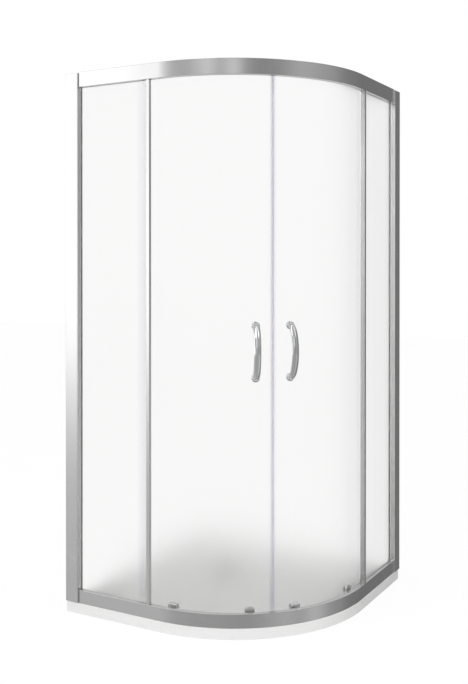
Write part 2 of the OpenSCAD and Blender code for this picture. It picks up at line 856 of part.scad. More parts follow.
module lower_wheel(angle) {
    color(nylon) on_curve(angle) translate([0, wheel_depth, lower_axle_z]) wheel();
}

// Housing on the outside of the door pane, with a slot for the carriage and a rib for its spring
module lower_housing() {
    slot_w = carriage_w + 2 * carriage_play;
    difference() {
        translate([-housing_w / 2, housing_front, housing_z]) cube([housing_w, housing_t, housing_h]);
        translate([-slot_w / 2, carriage_front - carriage_play, housing_z - past])
            cube([slot_w, carriage_t + 2 * carriage_play, housing_h + 2 * past]);
        for (x = [-bolt_x, bolt_x]) translate([x, 0, bolt_z])
            in_depth(housing_front + bolt_skin, door_depth + past, bolt_d);
    }
    translate([-window_w / 2 + rib_gap, carriage_front - carriage_play, rib_z])
        cube([window_w - 2 * rib_gap, carriage_t + 2 * carriage_play, rib_h]);
}

module lower_housings() {
    color(chrome) for (a = roller_angles) on_curve(a) lower_housing();
}

// Plate behind the glass that the housing's bolts pull against
module clamp_plates() {
    front = door_depth + door_glass_t + clamp_gap;
    color(steel) for (a = roller_angles) on_curve(a) difference() {
        translate([-housing_w / 2, front, housing_z + clamp_inset])
            cube([housing_w, clamp_t, housing_h - 2 * clamp_inset]);
        for (x = [-bolt_x, bolt_x]) translate([x, 0, bolt_z])
            in_depth(front - past, front + clamp_t + past, bolt_d + 2 * screw_gap);
    }
}

module housing_bolts() {
    seat = door_depth + door_glass_t + clamp_gap + clamp_t;
    color(steel) for (a = roller_angles, x = [-bolt_x, bolt_x]) on_curve(a) translate([x, 0, bolt_z]) {
        in_depth(housing_front + bolt_skin, seat + join, bolt_d);
        in_depth(seat, seat + bolt_head_h, bolt_head_d);
    }
}

// Sprung carriage: a slide with the release button on top and the stub axle of the lower wheel below
module release_carriage(angle) {
    button_z = housing_top + button_gap;
    window_top = rib_z + rib_h + window_gap;
    color(chrome) on_curve(angle) {
        difference() {
            translate([-carriage_w / 2, carriage_front, carriage_foot])
                cube([carriage_w, carriage_t, button_z + join - carriage_foot]);
            translate([-window_w / 2, carriage_front - past, window_foot])
                cube([window_w, carriage_t + 2 * past, window_top - window_foot]);
        }
        translate([-button_w / 2, housing_front, button_z])
            cube([button_w, housing_t - button_inset, button_h]);
        translate([0, 0, lower_axle_z]) {
            in_depth(carriage_front, wheel_depth + wheel_t / 2 + axle_tail, axle_d);
            in_depth(wheel_depth + wheel_t / 2 + wheel_gap,
                wheel_depth + wheel_t / 2 + wheel_gap + axle_head_t, axle_head_d);
            in_depth(carriage_front + carriage_t, wheel_depth - wheel_t / 2 - wheel_gap, axle_head_d);
        }
    }
}

// Compression spring between the carriage's window and the housing's rib
function spring_ring(s, length) =
    let (a = 360 * s, r = (spring_d - spring_wire) / 2,
        z = spring_wire / 2 + (length - spring_wire) * s / spring_turns)
    [for (k = [0 : spring_sides - 1]) let (b = -360 * k / spring_sides, out = r + spring_wire / 2 * cos(b))
        [out * cos(a), out * sin(a), z + spring_wire / 2 * sin(b)]];

module release_spring(angle) {
    length = rib_z - window_foot - spring_gap;
    steps = spring_turns * spring_steps;
    rings = [for (k = [0 : steps]) each spring_ring(k / spring_steps, length)];
    color(steel) on_curve(angle) translate([0, carriage_front + carriage_t / 2, window_foot])
        polyhedron(rings, tube_faces(spring_sides, steps));
}

shower_tray();
waste_flange();
waste_seal();
waste_cover();
left() wall_profile();  // wall_profile_left
right() wall_profile();  // wall_profile_right
left() adjusting_profile();  // adjusting_profile_left
right() adjusting_profile();  // adjusting_profile_right
locking_screws();
screw_caps();
top_rail();
bottom_rail();
rail_screws();
infill_strips();
left() fixed_glass();  // fixed_glass_left
right() fixed_glass();  // fixed_glass_right
left() glass_post();  // glass_post_left
right() glass_post();  // glass_post_right
glazing_gaskets();
door_stops();
left() door_glass();  // door_glass_left
right() door_glass();  // door_glass_right
left() handle();  // handle_left
right() handle();  // handle_right
left() handle_washers();  // handle_washers_left
right() handle_washers();  // handle_washers_right
left() handle_screws();  // handle_screws_left
right() handle_screws();  // handle_screws_right
left() meeting_seal();  // meeting_seal_left
right() meeting_seal();  // meeting_seal_right
left() trailing_seal();  // trailing_seal_left
right() trailing_seal();  // trailing_seal_right
left() top_hangers();  // top_hangers_left
right() top_hangers();  // top_hangers_right
left() hanger_screws();  // hanger_screws_left
right() hanger_screws();  // hanger_screws_right
left() top_axles();  // top_axles_left
right() top_axles();  // top_axles_right
left() lower_housings();  // lower_housings_left
right() lower_housings();  // lower_housings_right
left() clamp_plates();  // clamp_plates_left
right() clamp_plates();  // clamp_plates_right
left() housing_bolts();  // housing_bolts_left
right() housing_bolts();  // housing_bolts_right
left() top_wheel(trailing_angle);  // top_wheel_left_trailing
left() top_wheel(leading_angle);  // top_wheel_left_leading
right() top_wheel(trailing_angle);  // top_wheel_right_trailing
right() top_wheel(leading_angle);  // top_wheel_right_leading
left() lower_wheel(trailing_angle);  // lower_wheel_left_trailing
left() lower_wheel(leading_angle);  // lower_wheel_left_leading
right() lower_wheel(trailing_angle);  // lower_wheel_right_trailing
right() lower_wheel(leading_angle);  // lower_wheel_right_leading
left() release_carriage(trailing_angle);  // release_carriage_left_trailing
left() release_carriage(leading_angle);  // release_carriage_left_leading
right() release_carriage(trailing_angle);  // release_carriage_right_trailing
right() release_carriage(leading_angle);  // release_carriage_right_leading
left() release_spring(trailing_angle);  // release_spring_left_trailing
left() release_spring(leading_angle);  // release_spring_left_leading
right() release_spring(trailing_angle);  // release_spring_right_trailing
right() release_spring(leading_angle);  // release_spring_right_leading
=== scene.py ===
"""Dresses the quadrant shower enclosure: frame, frosted panes, sliding doors, rollers and tray."""

import logging
import math
from collections.abc import Callable, Sequence
from dataclasses import dataclass
from enum import Enum

import bmesh
import bpy
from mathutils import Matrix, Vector
from mathutils.geometry import tessellate_polygon


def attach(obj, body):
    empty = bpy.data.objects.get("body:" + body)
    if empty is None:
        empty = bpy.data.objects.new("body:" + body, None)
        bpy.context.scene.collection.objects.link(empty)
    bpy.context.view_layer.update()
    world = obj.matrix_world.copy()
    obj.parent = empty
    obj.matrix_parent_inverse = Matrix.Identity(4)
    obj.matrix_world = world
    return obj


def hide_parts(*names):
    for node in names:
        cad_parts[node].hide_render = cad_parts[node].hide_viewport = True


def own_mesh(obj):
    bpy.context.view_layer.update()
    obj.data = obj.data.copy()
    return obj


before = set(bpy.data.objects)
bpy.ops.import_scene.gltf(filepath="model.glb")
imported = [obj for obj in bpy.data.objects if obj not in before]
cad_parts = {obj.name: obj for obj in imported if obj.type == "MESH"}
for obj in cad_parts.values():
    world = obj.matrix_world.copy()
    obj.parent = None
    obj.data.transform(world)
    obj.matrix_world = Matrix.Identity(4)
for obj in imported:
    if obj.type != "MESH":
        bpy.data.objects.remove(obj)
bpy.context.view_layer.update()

logging.basicConfig(level=logging.INFO, format="%(message)s")
log = logging.getLogger("shower_enclosure")

MM = 0.001
IMAGE_W = 468
IMAGE_H = 684
SHARP_ANGLE = math.radians(40.0)
WELD_REACH = 0.01 * MM
EDGE_SEGMENTS = 2
MOST_OF_EDGE = 0.45
UP = Vector((0.0, 0.0, 1.0))

Flat = tuple[float, float]
Loop = list[Flat]
Color = tuple[float, float, float, float]
Ring = list[bmesh.types.BMVert]
Level = bpy.types.NodeSocket | float
Across = Callable[[float, float], Vector]
Place = Callable[[float, float, float], Vector]

WHITE: Color = (1.0, 1.0, 1.0, 1.0)


@dataclass(frozen=True)
class Layout:
    """Sizes in millimetres that the sub-assemblies share."""

    side_w: float = 900.0
    curve_r: float = 515.0
    frame_h: float = 1850.0
    profile_w: float = 53.0
    profile_proud: float = 5.0
    tray_h: float = 37.0
    door_depth: float = 40.0
    door_glass_t: float = 5.0
    door_foot_z: float = 30.0
    door_top_z: float = 1815.0
    wheel_depth: float = 56.0
    trailing_angle: float = 4.0
    leading_angle: float = 35.5
    meeting_angle: float = 45.0

    @property
    def half(self) -> float:
        """Distance from the middle of the enclosure to a wall."""
        return (self.side_w + self.profile_proud) / 2

    @property
    def straight(self) -> float:
        """Distance from a wall to the beginning of the curve."""
        return self.side_w - self.curve_r


LAYOUT = Layout()


class Side(Enum):
    """The two sides of the enclosure; the right one is the left one mirrored."""

    LEFT = "left"
    RIGHT = "right"

    def place(self, x: float, y: float, z: float) -> Vector:
        """Turns a point of this side's frame into a point of the model.

        Args:
            x: Distance from this side's wall, in millimetres.
            y: Depth behind the rail's face, in millimetres.
            z: Height above the foot of the metal frame, in millimetres.

        Returns:
            The point in metres.
        """
        across = x - LAYOUT.half
        inward = y - LAYOUT.half + LAYOUT.profile_proud
        if self is Side.RIGHT:
            across, inward = -inward, -across
        return Vector((across * MM, inward * MM, (z + LAYOUT.tray_h) * MM))


@dataclass(frozen=True)
class Station:
    """A place on the curve, with x along the curve and y into the shower."""

    side: Side
    angle: float

    def at(self, x: float, y: float, z: float) -> Vector:
        """Turns a point of this station's frame into a point of the model.

        Args:
            x: Distance along the curve from the station, in millimetres.
            y: Depth behind the rail's face, in millimetres.
            z: Height above the foot of the metal frame, in millimetres.

        Returns:
            The point in metres.
        """
        turn = math.radians(self.angle)
        back = y - LAYOUT.curve_r
        u = LAYOUT.straight + x * math.cos(turn) - back * math.sin(turn)
        v = LAYOUT.curve_r + x * math.sin(turn) + back * math.cos(turn)
        return self.side.place(u, v, z)

    @property
    def inward(self) -> Vector:
        """Direction into the shower."""
        return (self.at(0, 1, 0) - self.at(0, 0, 0)).normalized()


class Wheelset(Enum):
    """The two roller sets of a door."""

    TRAILING = "trailing"
    LEADING = "leading"

    @property
    def angle(self) -> float:
        """Angle from the beginning of the curve."""
        return LAYOUT.trailing_angle if self is Wheelset.TRAILING else LAYOUT.leading_angle


class Slot(Enum):
    """Material slots of the record."""

    ALLOY = "alloy"
    CHROME = "chrome"
    GLASS = "frosted_glass"
    SEAL = "clear_seal"
    ACRYLIC = "acrylic"
    NYLON = "nylon"
    STEEL = "steel"
    RUBBER = "rubber"


class Graph:
    """Places and joins nodes in a node tree."""

    def __init__(self, tree: bpy.types.NodeTree) -> None:
        """Keeps the tree that the nodes go into."""
        self.tree = tree

    def node(self, kind: str, values: dict[str, object] | None = None,
             **settings: object) -> bpy.types.Node:
        """Adds a node.

        Args:
            kind: Blender's name of the node type.
            values: Values of its input sockets, by socket name.
            **settings: Values of the node's own properties, which are set first.

        Returns:
            The new node.
        """
        made = self.tree.nodes.new(kind)
        for name, value in settings.items():
            setattr(made, name, value)
        for name, value in (values or {}).items():
            made.inputs[name].default_value = value
        return made

    def join(self, source: bpy.types.NodeSocket, target: bpy.types.NodeSocket) -> None:
        """Links an output to an input."""
        self.tree.links.new(source, target)

    def feed(self, value: Level, target: bpy.types.NodeSocket) -> None:
        """Links a socket to an input, or sets the input to a number.

        Args:
            value: A socket or a number.
            target: The input.
        """
        if isinstance(value, bpy.types.NodeSocket):
            self.join(value, target)
        else:
            target.default_value = value

    def math(self, operation: str, first: Level, second: Level = 0.0) -> bpy.types.NodeSocket:
        """Adds a math node.

        Args:
            operation: Blender's name of the operation.
            first: A socket or a number.
            second: A socket or a number.

        Returns:
            The node's output.
        """
        made = self.node("ShaderNodeMath", operation=operation)
        self.feed(first, made.inputs[0])
        self.feed(second, made.inputs[1])
        return made.outputs[0]

    def smooth_step(self, value: bpy.types.NodeSocket, low: float, high: float) -> bpy.types.NodeSocket:
        """Adds a smooth step from 0 to 1.

        Args:
            value: The value that is stepped.
            low: Value at which the step is 0.
            high: Value at which the step is 1.

        Returns:
            The step.
        """
        step = self.node("ShaderNodeMapRange", {"From Min": low, "From Max": high},
                         interpolation_type="SMOOTHSTEP")
        self.join(value, step.inputs["Value"])
        return step.outputs["Result"]

    def mix(self, share: bpy.types.NodeSocket, first: Level, second: Level) -> bpy.types.NodeSocket:
        """Mixes two levels.

        Args:
            share: Share of the second level, from 0 to 1.
            first: A socket or a number.
            second: A socket or a number.

        Returns:
            The mixed level.
        """
        made = self.node("ShaderNodeMix", data_type="FLOAT")
        self.join(share, made.inputs["Factor"])
        self.feed(first, made.inputs["A"])
        self.feed(second, made.inputs["B"])
        return made.outputs["Result"]


class EffectGroups:
    """Shader node groups that more than one finish uses, each built once."""

    def __init__(self) -> None:
        """Builds the groups."""
        self.grain = self._grain()
        self.haze = self._haze()

    @staticmethod
    def _open(name: str, inputs: dict[str, object],
              outputs: dict[str, str]) -> tuple[Graph, bpy.types.Node, bpy.types.Node]:
        """Starts a group.

        Args:
            name: Name of the group.
            inputs: Default value of each input; None makes a vector without one.
            outputs: Socket type of each output.

        Returns:
            The graph, the group's input node and its output node.
        """
        tree = bpy.data.node_groups.new(name, "ShaderNodeTree")
        for label, value in inputs.items():
            if value is None:
                kind = "NodeSocketVector"
            elif isinstance(value, tuple):
                kind = "NodeSocketColor"
            else:
                kind = "NodeSocketFloat"
            made = tree.interface.new_socket(label, in_out="INPUT", socket_type=kind)
            if value is not None:
                made.default_value = value
        for label, kind in outputs.items():
            tree.interface.new_socket(label, in_out="OUTPUT", socket_type=kind)
        graph = Graph(tree)
        return graph, graph.node("NodeGroupInput"), graph.node("NodeGroupOutput")

    def _grain(self) -> bpy.types.NodeTree:
        """Builds the fine grain of a blasted, moulded or frosted surface.

        Returns:
            The group's tree.
        """
        graph, given, result = self._open(
            "Surface grain",
            {"Vector": None, "Color": (0.8, 0.8, 0.8, 1.0), "Scale": 400.0, "Color Spread": 0.05,
             "Roughness": 0.3, "Roughness Spread": 0.05},
            {"Color": "NodeSocketColor", "Roughness": "NodeSocketFloat", "Height": "NodeSocketFloat"})
        noise = graph.node("ShaderNodeTexNoise", {"Detail": 3.0, "Roughness": 0.65})
        graph.join(given.outputs["Vector"], noise.inputs["Vector"])
        graph.join(given.outputs["Scale"], noise.inputs["Scale"])
        wave = graph.node("ShaderNodeMapRange",
                          {"From Min": 0.3, "From Max": 0.7, "To Min": -1.0, "To Max": 1.0})
        graph.join(noise.outputs["Fac"], wave.inputs["Value"])
        grain = wave.outputs["Result"]
        lift = graph.math("ADD", graph.math("MULTIPLY", grain, given.outputs["Color Spread"]), 1.0)
        tint = graph.node("ShaderNodeVectorMath", operation="SCALE")
        graph.join(given.outputs["Color"], tint.inputs[0])
        graph.join(lift, tint.inputs["Scale"])
        rough = graph.math("ADD", graph.math("MULTIPLY", grain, given.outputs["Roughness Spread"]),
                           given.outputs["Roughness"])
        graph.join(tint.outputs["Vector"], result.inputs["Color"])
        graph.join(rough, result.inputs["Roughness"])
        graph.join(noise.outputs["Fac"], result.inputs["Height"])
        return graph.tree

    def _haze(self) -> bpy.types.NodeTree:
        """Builds the broad uneven haze that dried water leaves on a surface.

        Returns:
            The group's tree.
        """
        graph, given, result = self._open(
            "Dried haze",
            {"Vector": None, "Scale": 7.0, "Amount": 0.05, "Roughness": 0.3},
            {"Roughness": "NodeSocketFloat"})
        clouds = graph.node("ShaderNodeTexNoise", {"Detail": 4.0, "Roughness": 0.6, "Distortion": 0.6})
        graph.join(given.outputs["Vector"], clouds.inputs["Vector"])
        graph.join(given.outputs["Scale"], clouds.inputs["Scale"])
        patch = graph.smooth_step(clouds.outputs["Fac"], low=0.42, high=0.72)
        rough = graph.math("ADD", graph.math("MULTIPLY", patch, given.outputs["Amount"]),
                           given.outputs["Roughness"])
        graph.join(rough, result.inputs["Roughness"])
        return graph.tree


GROUPS = EffectGroups()


@dataclass(frozen=True)
class Finish:
    """A finish whose grain and haze vary over the surface.

    The grain's size is its scale in cells for each metre, and its height is in metres.
    """

    name: str
    slot: Slot
    color: Color
    roughness: float
    metallic: float = 0.0
    grain_scale: float = 420.0
    color_spread: float = 0.04
    roughness_spread: float = 0.04
    grain_height: float = 0.00002
    grain_strength: float = 0.3
    haze: float = 0.03
    haze_scale: float = 7.0
    coat: float = 0.0
    coat_roughness: float = 0.14
    transmission: float = 0.0
    ior: float = 1.5

    def material(self) -> bpy.types.Material:
        """Gives the material of this finish, which is built once.

        Returns:
            The material.
        """
        found = bpy.data.materials.get(self.name)
        if found is not None:
            return found
        made = bpy.data.materials.new(self.name)
        made.use_nodes = True
        graph = Graph(made.node_tree)
        surface = made.node_tree.nodes["Principled BSDF"]
        surface.inputs["Metallic"].default_value = self.metallic
        surface.inputs["Transmission Weight"].default_value = self.transmission
        surface.inputs["IOR"].default_value = self.ior
        surface.inputs["Coat Weight"].default_value = self.coat
        surface.inputs["Coat Roughness"].default_value = self.coat_roughness
        place = graph.node("ShaderNodeTexCoord")
        haze = graph.node(
            "ShaderNodeGroup",
            {"Scale": self.haze_scale, "Amount": self.haze, "Roughness": self.roughness},
            node_tree=GROUPS.haze)
        grain = graph.node(
            "ShaderNodeGroup",
            {"Color": self.color, "Scale": self.grain_scale, "Color Spread": self.color_spread,
             "Roughness Spread": self.roughness_spread},
            node_tree=GROUPS.grain)
        bump = graph.node("ShaderNodeBump",
                          {"Strength": self.grain_strength, "Distance": self.grain_height})
        graph.join(place.outputs["Object"], haze.inputs["Vector"])
        graph.join(place.outputs["Object"], grain.inputs["Vector"])
        graph.join(haze.outputs["Roughness"], grain.inputs["Roughness"])
        graph.join(grain.outputs["Color"], surface.inputs["Base Color"])
        graph.join(grain.outputs["Roughness"], surface.inputs["Roughness"])
        graph.join(grain.outputs["Height"], bump.inputs["Height"])
        graph.join(bump.outputs["Normal"], surface.inputs["Normal"])
        return made


ANODISED = Finish("anodised_alloy", Slot.ALLOY, (0.64, 0.645, 0.64, 1.0), 0.22, metallic=1.0,
                  grain_scale=2400.0, color_spread=0.05, grain_height=0.000005, haze=0.04, haze_scale=5.0)
BRIGHT_CHROME = Finish("bright_chrome", Slot.CHROME, (0.72, 0.73, 0.73, 1.0), 0.10, metallic=1.0,
                       grain_scale=900.0, color_spread=0.02, roughness_spread=0.01,
                       grain_height=0.00001, grain_strength=0.1, haze_scale=40.0)
SATIN_CHROME = Finish("satin_chrome", Slot.CHROME, (0.76, 0.77, 0.76, 1.0), 0.18, metallic=0.75,
                      grain_scale=900.0, color_spread=0.02, grain_height=0.00001)
FROSTED = Finish("frosted_glass_pane", Slot.GLASS, (0.94, 0.94, 0.937, 1.0), 0.66, grain_scale=700.0,
                 color_spread=0.008, roughness_spread=0.03, haze=0.02, transmission=1.0, ior=1.12)
CLEAR_SEAL = Finish("clear_seal_strip", Slot.SEAL, (0.955, 0.945, 0.97, 1.0), 0.30, grain_scale=500.0,
                    color_spread=0.02, transmission=1.0, ior=1.04)
MAGNET = Finish("magnet_strip", Slot.SEAL, (0.90, 0.88, 0.93, 1.0), 0.45, grain_scale=600.0,
                transmission=0.85, ior=1.1)
GASKET = Finish("glazing_gasket", Slot.SEAL, (0.86, 0.86, 0.87, 1.0), 0.5, grain_scale=500.0)
ACRYLIC = Finish("tray_acrylic", Slot.ACRYLIC, (0.90, 0.90, 0.895, 1.0), 0.28, grain_scale=60.0,
                 color_spread=0.008, roughness_spread=0.01, grain_strength=0.04, haze=0.04,
                 haze_scale=5.0, coat=0.5)
NYLON = Finish("wheel_nylon", Slot.NYLON, (0.86, 0.86, 0.84, 1.0), 0.42, grain_scale=700.0)
STEEL = Finish("stainless_steel", Slot.STEEL, (0.62, 0.63, 0.64, 1.0), 0.28, metallic=1.0,
               grain_scale=900.0, color_spread=0.05)
BEARING_SHIELD = Finish("bearing_shield", Slot.STEEL, (0.40, 0.41, 0.42, 1.0), 0.36, metallic=1.0,
                        grain_scale=900.0)
RUBBER = Finish("black_rubber", Slot.RUBBER, (0.05, 0.05, 0.052, 1.0), 0.62, grain_scale=800.0,
                color_spread=0.15)


@dataclass(frozen=True)
class Turn:
    """One step of a turned profile: its radius, its place along the axis and its form."""

    radius: float
    along: float
    hexagon: bool = False

    def reach(self, turn: float) -> float:
        """Gives the distance from the axis in a direction round it.

        Args:
            turn: The direction, in radians.

        Returns:
            The distance in millimetres.
        """
        if not self.hexagon:
            return self.radius
        sixth = math.pi / 3
        return self.radius / math.cos(turn % sixth - sixth / 2)


class Shell:
    """A mesh under construction, with points in metres in the model's frame."""

    def __init__(self) -> None:
        """Starts an empty mesh."""
        self.mesh = bmesh.new()

    def ring(self, points: Sequence[Vector]) -> Ring:
        """Adds a ring of points."""
        return [self.mesh.verts.new(point) for point in points]

    def bridge(self, first: Ring, second: Ring) -> None:
        """Joins two rings.

        Args:
            first: A ring, or a pole of one point.
            second: A ring, or a pole of one point.
        """
        count = max(len(first), len(second))
        for here in range(count):
            after = (here + 1) % count
            corners = [first[here % len(first)], first[after % len(first)],
                       second[after % len(second)], second[here % len(second)]]
            self.mesh.faces.new(list(dict.fromkeys(corners)))

    def loft(self, rings: Sequence[Sequence[Vector]], closed: bool = False) -> None:
        """Skins a row of rings.

        Args:
            rings: Rings of equally many points, or poles of one.
            closed: True joins the last ring to the first instead of closing both ends.
        """
        made = [self.ring(points) for points in rings]
        for first, second in zip(made, made[1:]):
            self.bridge(first, second)
        if closed:
            self.bridge(made[-1], made[0])
            return
        for end in (made[0], made[-1]):
            if len(end) > 2:
                self.mesh.faces.new(end)

    def sweep(self, loops: Sequence[Loop], stations: Sequence[Across]) -> None:
        """Sweeps a section and closes both ends.

        Args:
            loops: The section's outline, then the outlines of its hollows.
            stations: Each turns a point of the section into a point of the model.
        """
        first: Ring = []
        last: Ring = []
        for loop in loops:
            made = [self.ring([station(a, b) for a, b in loop]) for station in stations]
            for here, after in zip(made, made[1:]):
                self.bridge(here, after)
            first += made[0]
            last += made[-1]
        triangles = tessellate_polygon([[Vector((a, b, 0.0)) for a, b in loop] for loop in loops])
        for triangle in triangles:
            self.mesh.faces.new([first[index] for index in triangle])
            self.mesh.faces.new([last[index] for index in triangle])

    def extrude(self, loops: Sequence[Loop], place: Place, low: float, high: float) -> None:
        """Extrudes a section that is seen from above, and closes both ends.

        Args:
            loops: The section's outline, then the outlines of its hollows.
            place: Turns a point in millimetres into a point of the model.
            low: Height of the lower end.
            high: Height of the upper end.
        """
        self.sweep(loops, [lambda a, b: place(a, b, low), lambda a, b: place(a, b, high)])

    def turned(self, profile: Sequence[Turn], origin: Vector, axis: Vector, sides: int = 36,
               closed: bool = False) -> None:
        """Turns a profile about an axis.

        Args:
            profile: The steps from one end to the other.
            origin: Point on the axis where the steps' distances begin.
            axis: Direction of the axis.
            sides: Number of points round the axis.
            closed: True joins the last step to the first, which leaves a bore.
        """
        across = axis.orthogonal().normalized()
        beside = axis.cross(across).normalized()
        rings = []
        for step in profile:
            middle = origin + axis * step.along * MM
            if step.radius == 0:
                rings.append([middle])
                continue
            points = []
            for index in range(sides):
                turn = math.tau * index / sides
                reach = step.reach(turn) * MM
                points.append(middle + across * reach * math.cos(turn) + beside * reach * math.sin(turn))
            rings.append(points)
        self.loft(rings, closed)

    def block(self, place: Place, low: Sequence[float], high: Sequence[float], chamfer: float) -> None:
        """Adds a block with chamfered upright edges and ends.

        Args:
            place: Turns a point in millimetres into a point of the model.
            low: Lowest corner.
            high: Highest corner.
            chamfer: Size of the chamfers.
        """
        levels = ((low[2], chamfer), (low[2] + chamfer, 0.0), (high[2] - chamfer, 0.0), (high[2], chamfer))
        rings = []
        for z, inset in levels:
            left, right = low[0] + inset, high[0] - inset
            near, far = low[1] + inset, high[1] - inset
            outline = ((left + chamfer, near), (right - chamfer, near), (right, near + chamfer),
                       (right, far - chamfer), (right - chamfer, far), (left + chamfer, far),
                       (left, far - chamfer), (left, near + chamfer))
            rings.append([place(x, y, z) for x, y in outline])
        self.loft(rings)

    def piece(self, name: str, body: str, finish: Finish,
              stands_for: Sequence[str] = ()) -> bpy.types.Object:
        """Ends the mesh and makes it a piece of the model.

        Args:
            name: Name of the piece.
            body: Body that it moves with.
            finish: Its finish.
            stands_for: CAD nodes that it replaces.

        Returns:
            The new object.
        """
        bmesh.ops.recalc_face_normals(self.mesh, faces=self.mesh.faces)
        for face in self.mesh.faces:
            face.smooth = True
        for edge in self.mesh.edges:
            edge.smooth = edge.calc_face_angle(0.0) < SHARP_ANGLE
        data = bpy.data.meshes.new(name)
        self.mesh.to_mesh(data)
        self.mesh.free()
        data.materials.append(finish.material())
        made = bpy.data.objects.new(name, data)
        bpy.context.scene.collection.objects.link(made)
        weighted = made.modifiers.new("even_shading", "WEIGHTED_NORMAL")
        weighted.keep_sharp = True
        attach(made, body)
        if stands_for:
            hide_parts(*stands_for)
        log.info("%s: %d points, on %s", name, len(data.vertices), body)
        return made


def rounded(loop: Loop, radius: float, steps: int = 3) -> Loop:
    """Rounds the corners of an outline.

    Args:
        loop: Corners of the outline.
        radius: Distance from each corner at which the rounding begins.
        steps: Number of segments in each rounding.

    Returns:
        The rounded outline.
    """
    result: Loop = []
    count = len(loop)
    for index, corner in enumerate(loop):
        here = Vector(corner)
        before = Vector(loop[index - 1]) - here
        after = Vector(loop[(index + 1) % count]) - here
        start = here + before.normalized() * min(radius, before.length * MOST_OF_EDGE)
        end = here + after.normalized() * min(radius, after.length * MOST_OF_EDGE)
        for step in range(steps + 1):
            t = step / steps
            point = start * (1 - t) ** 2 + here * 2 * t * (1 - t) + end * t ** 2
            result.append((point.x, point.y))
    return result


def rectangle(left: float, low: float, right: float, high: float) -> Loop:
    """Corners of a rectangle, from its lower left one round."""
    return [(left, low), (right, low), (right, high), (left, high)]


def arc(center: Flat, radius: float, start: float, end: float, steps: int) -> Loop:
    """Places points on an arc.

    Args:
        center: Its middle.
        radius: Its radius.
        start: First angle in degrees.
        end: Last angle in degrees.
        steps: Number of segments.

    Returns:
        The points, both ends included.
    """
    turns = [math.radians(start + (end - start) * step / steps) for step in range(steps + 1)]
    return [(center[0] + radius * math.cos(turn), center[1] + radius * math.sin(turn)) for turn in turns]


def dress(node: str, finish: Finish, edge: float = 0.0) -> None:
    """Gives a CAD node its finish.

    Args:
        node: Name of the node.
        finish: Its finish.
        edge: Width in millimetres of its softened edges; 0 leaves them sharp.
    """
    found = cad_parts[node]
    for slot in found.material_slots:
        slot.material = finish.material()
    if edge > 0:
        weld = found.modifiers.new("joined_corners", "WELD")
        weld.merge_threshold = WELD_REACH
        soft = found.modifiers.new("soft_edges", "BEVEL")
        soft.width = edge * MM
        soft.segments = EDGE_SEGMENTS
        soft.limit_method = "ANGLE"
        soft.angle_limit = SHARP_ANGLE
    log.info("%s: %s", node, finish.name)


@dataclass(frozen=True)
class SocketScrew:
    """A screw with a hexagon socket, whose head looks into the shower.

    Its tip and its seat are depths behind the rail's face. The rounding of the head gives distances from
    its rim and from its top, in widths of its rounded edge.
    """

    tip: float
    seat: float
    shank_r: float
    head_r: float
    head_h: float
    point_share: float = 0.75
    point_len: float = 0.6
    chamfer: float = 0.25
    edge_share: float = 0.22
    head_round: tuple[Flat, ...] = ((0.0, 1.6), (0.3, 0.6), (1.0, 0.15), (1.8, 0.0))
    socket_share: float = 0.42
    socket_flare: float = 1.18
    socket_floor: float = 0.35
    drill_point: float = 0.2

    def add(self, shell: Shell, station: Station, x: float, z: float) -> None:
        """Turns one screw.

        Args:
            shell: Mesh that the screw goes into.
            station: Place on the curve.
            x: Distance along the curve from the station.
            z: Height above the foot of the frame.
        """
        top = self.seat + self.head_h
        edge = self.head_h * self.edge_share
        socket_r = self.head_r * self.socket_share
        socket_foot = self.seat + self.head_h * self.socket_floor
        profile = [Turn(0, self.tip), Turn(self.shank_r * self.point_share, self.tip),
                   Turn(self.shank_r, self.tip + self.point_len), Turn(self.shank_r, self.seat),
                   Turn(self.head_r - self.chamfer, self.seat), Turn(self.head_r, self.seat + self.chamfer)]
        profile += [Turn(self.head_r - inset * edge, top - drop * edge) for inset, drop in self.head_round]
        profile += [Turn(socket_r * self.socket_flare, top),
                    Turn(socket_r, top - self.chamfer, hexagon=True),
                    Turn(socket_r, socket_foot, hexagon=True), Turn(0, socket_foot - self.drill_point)]
        shell.turned(profile, station.at(x, 0, z), station.inward)


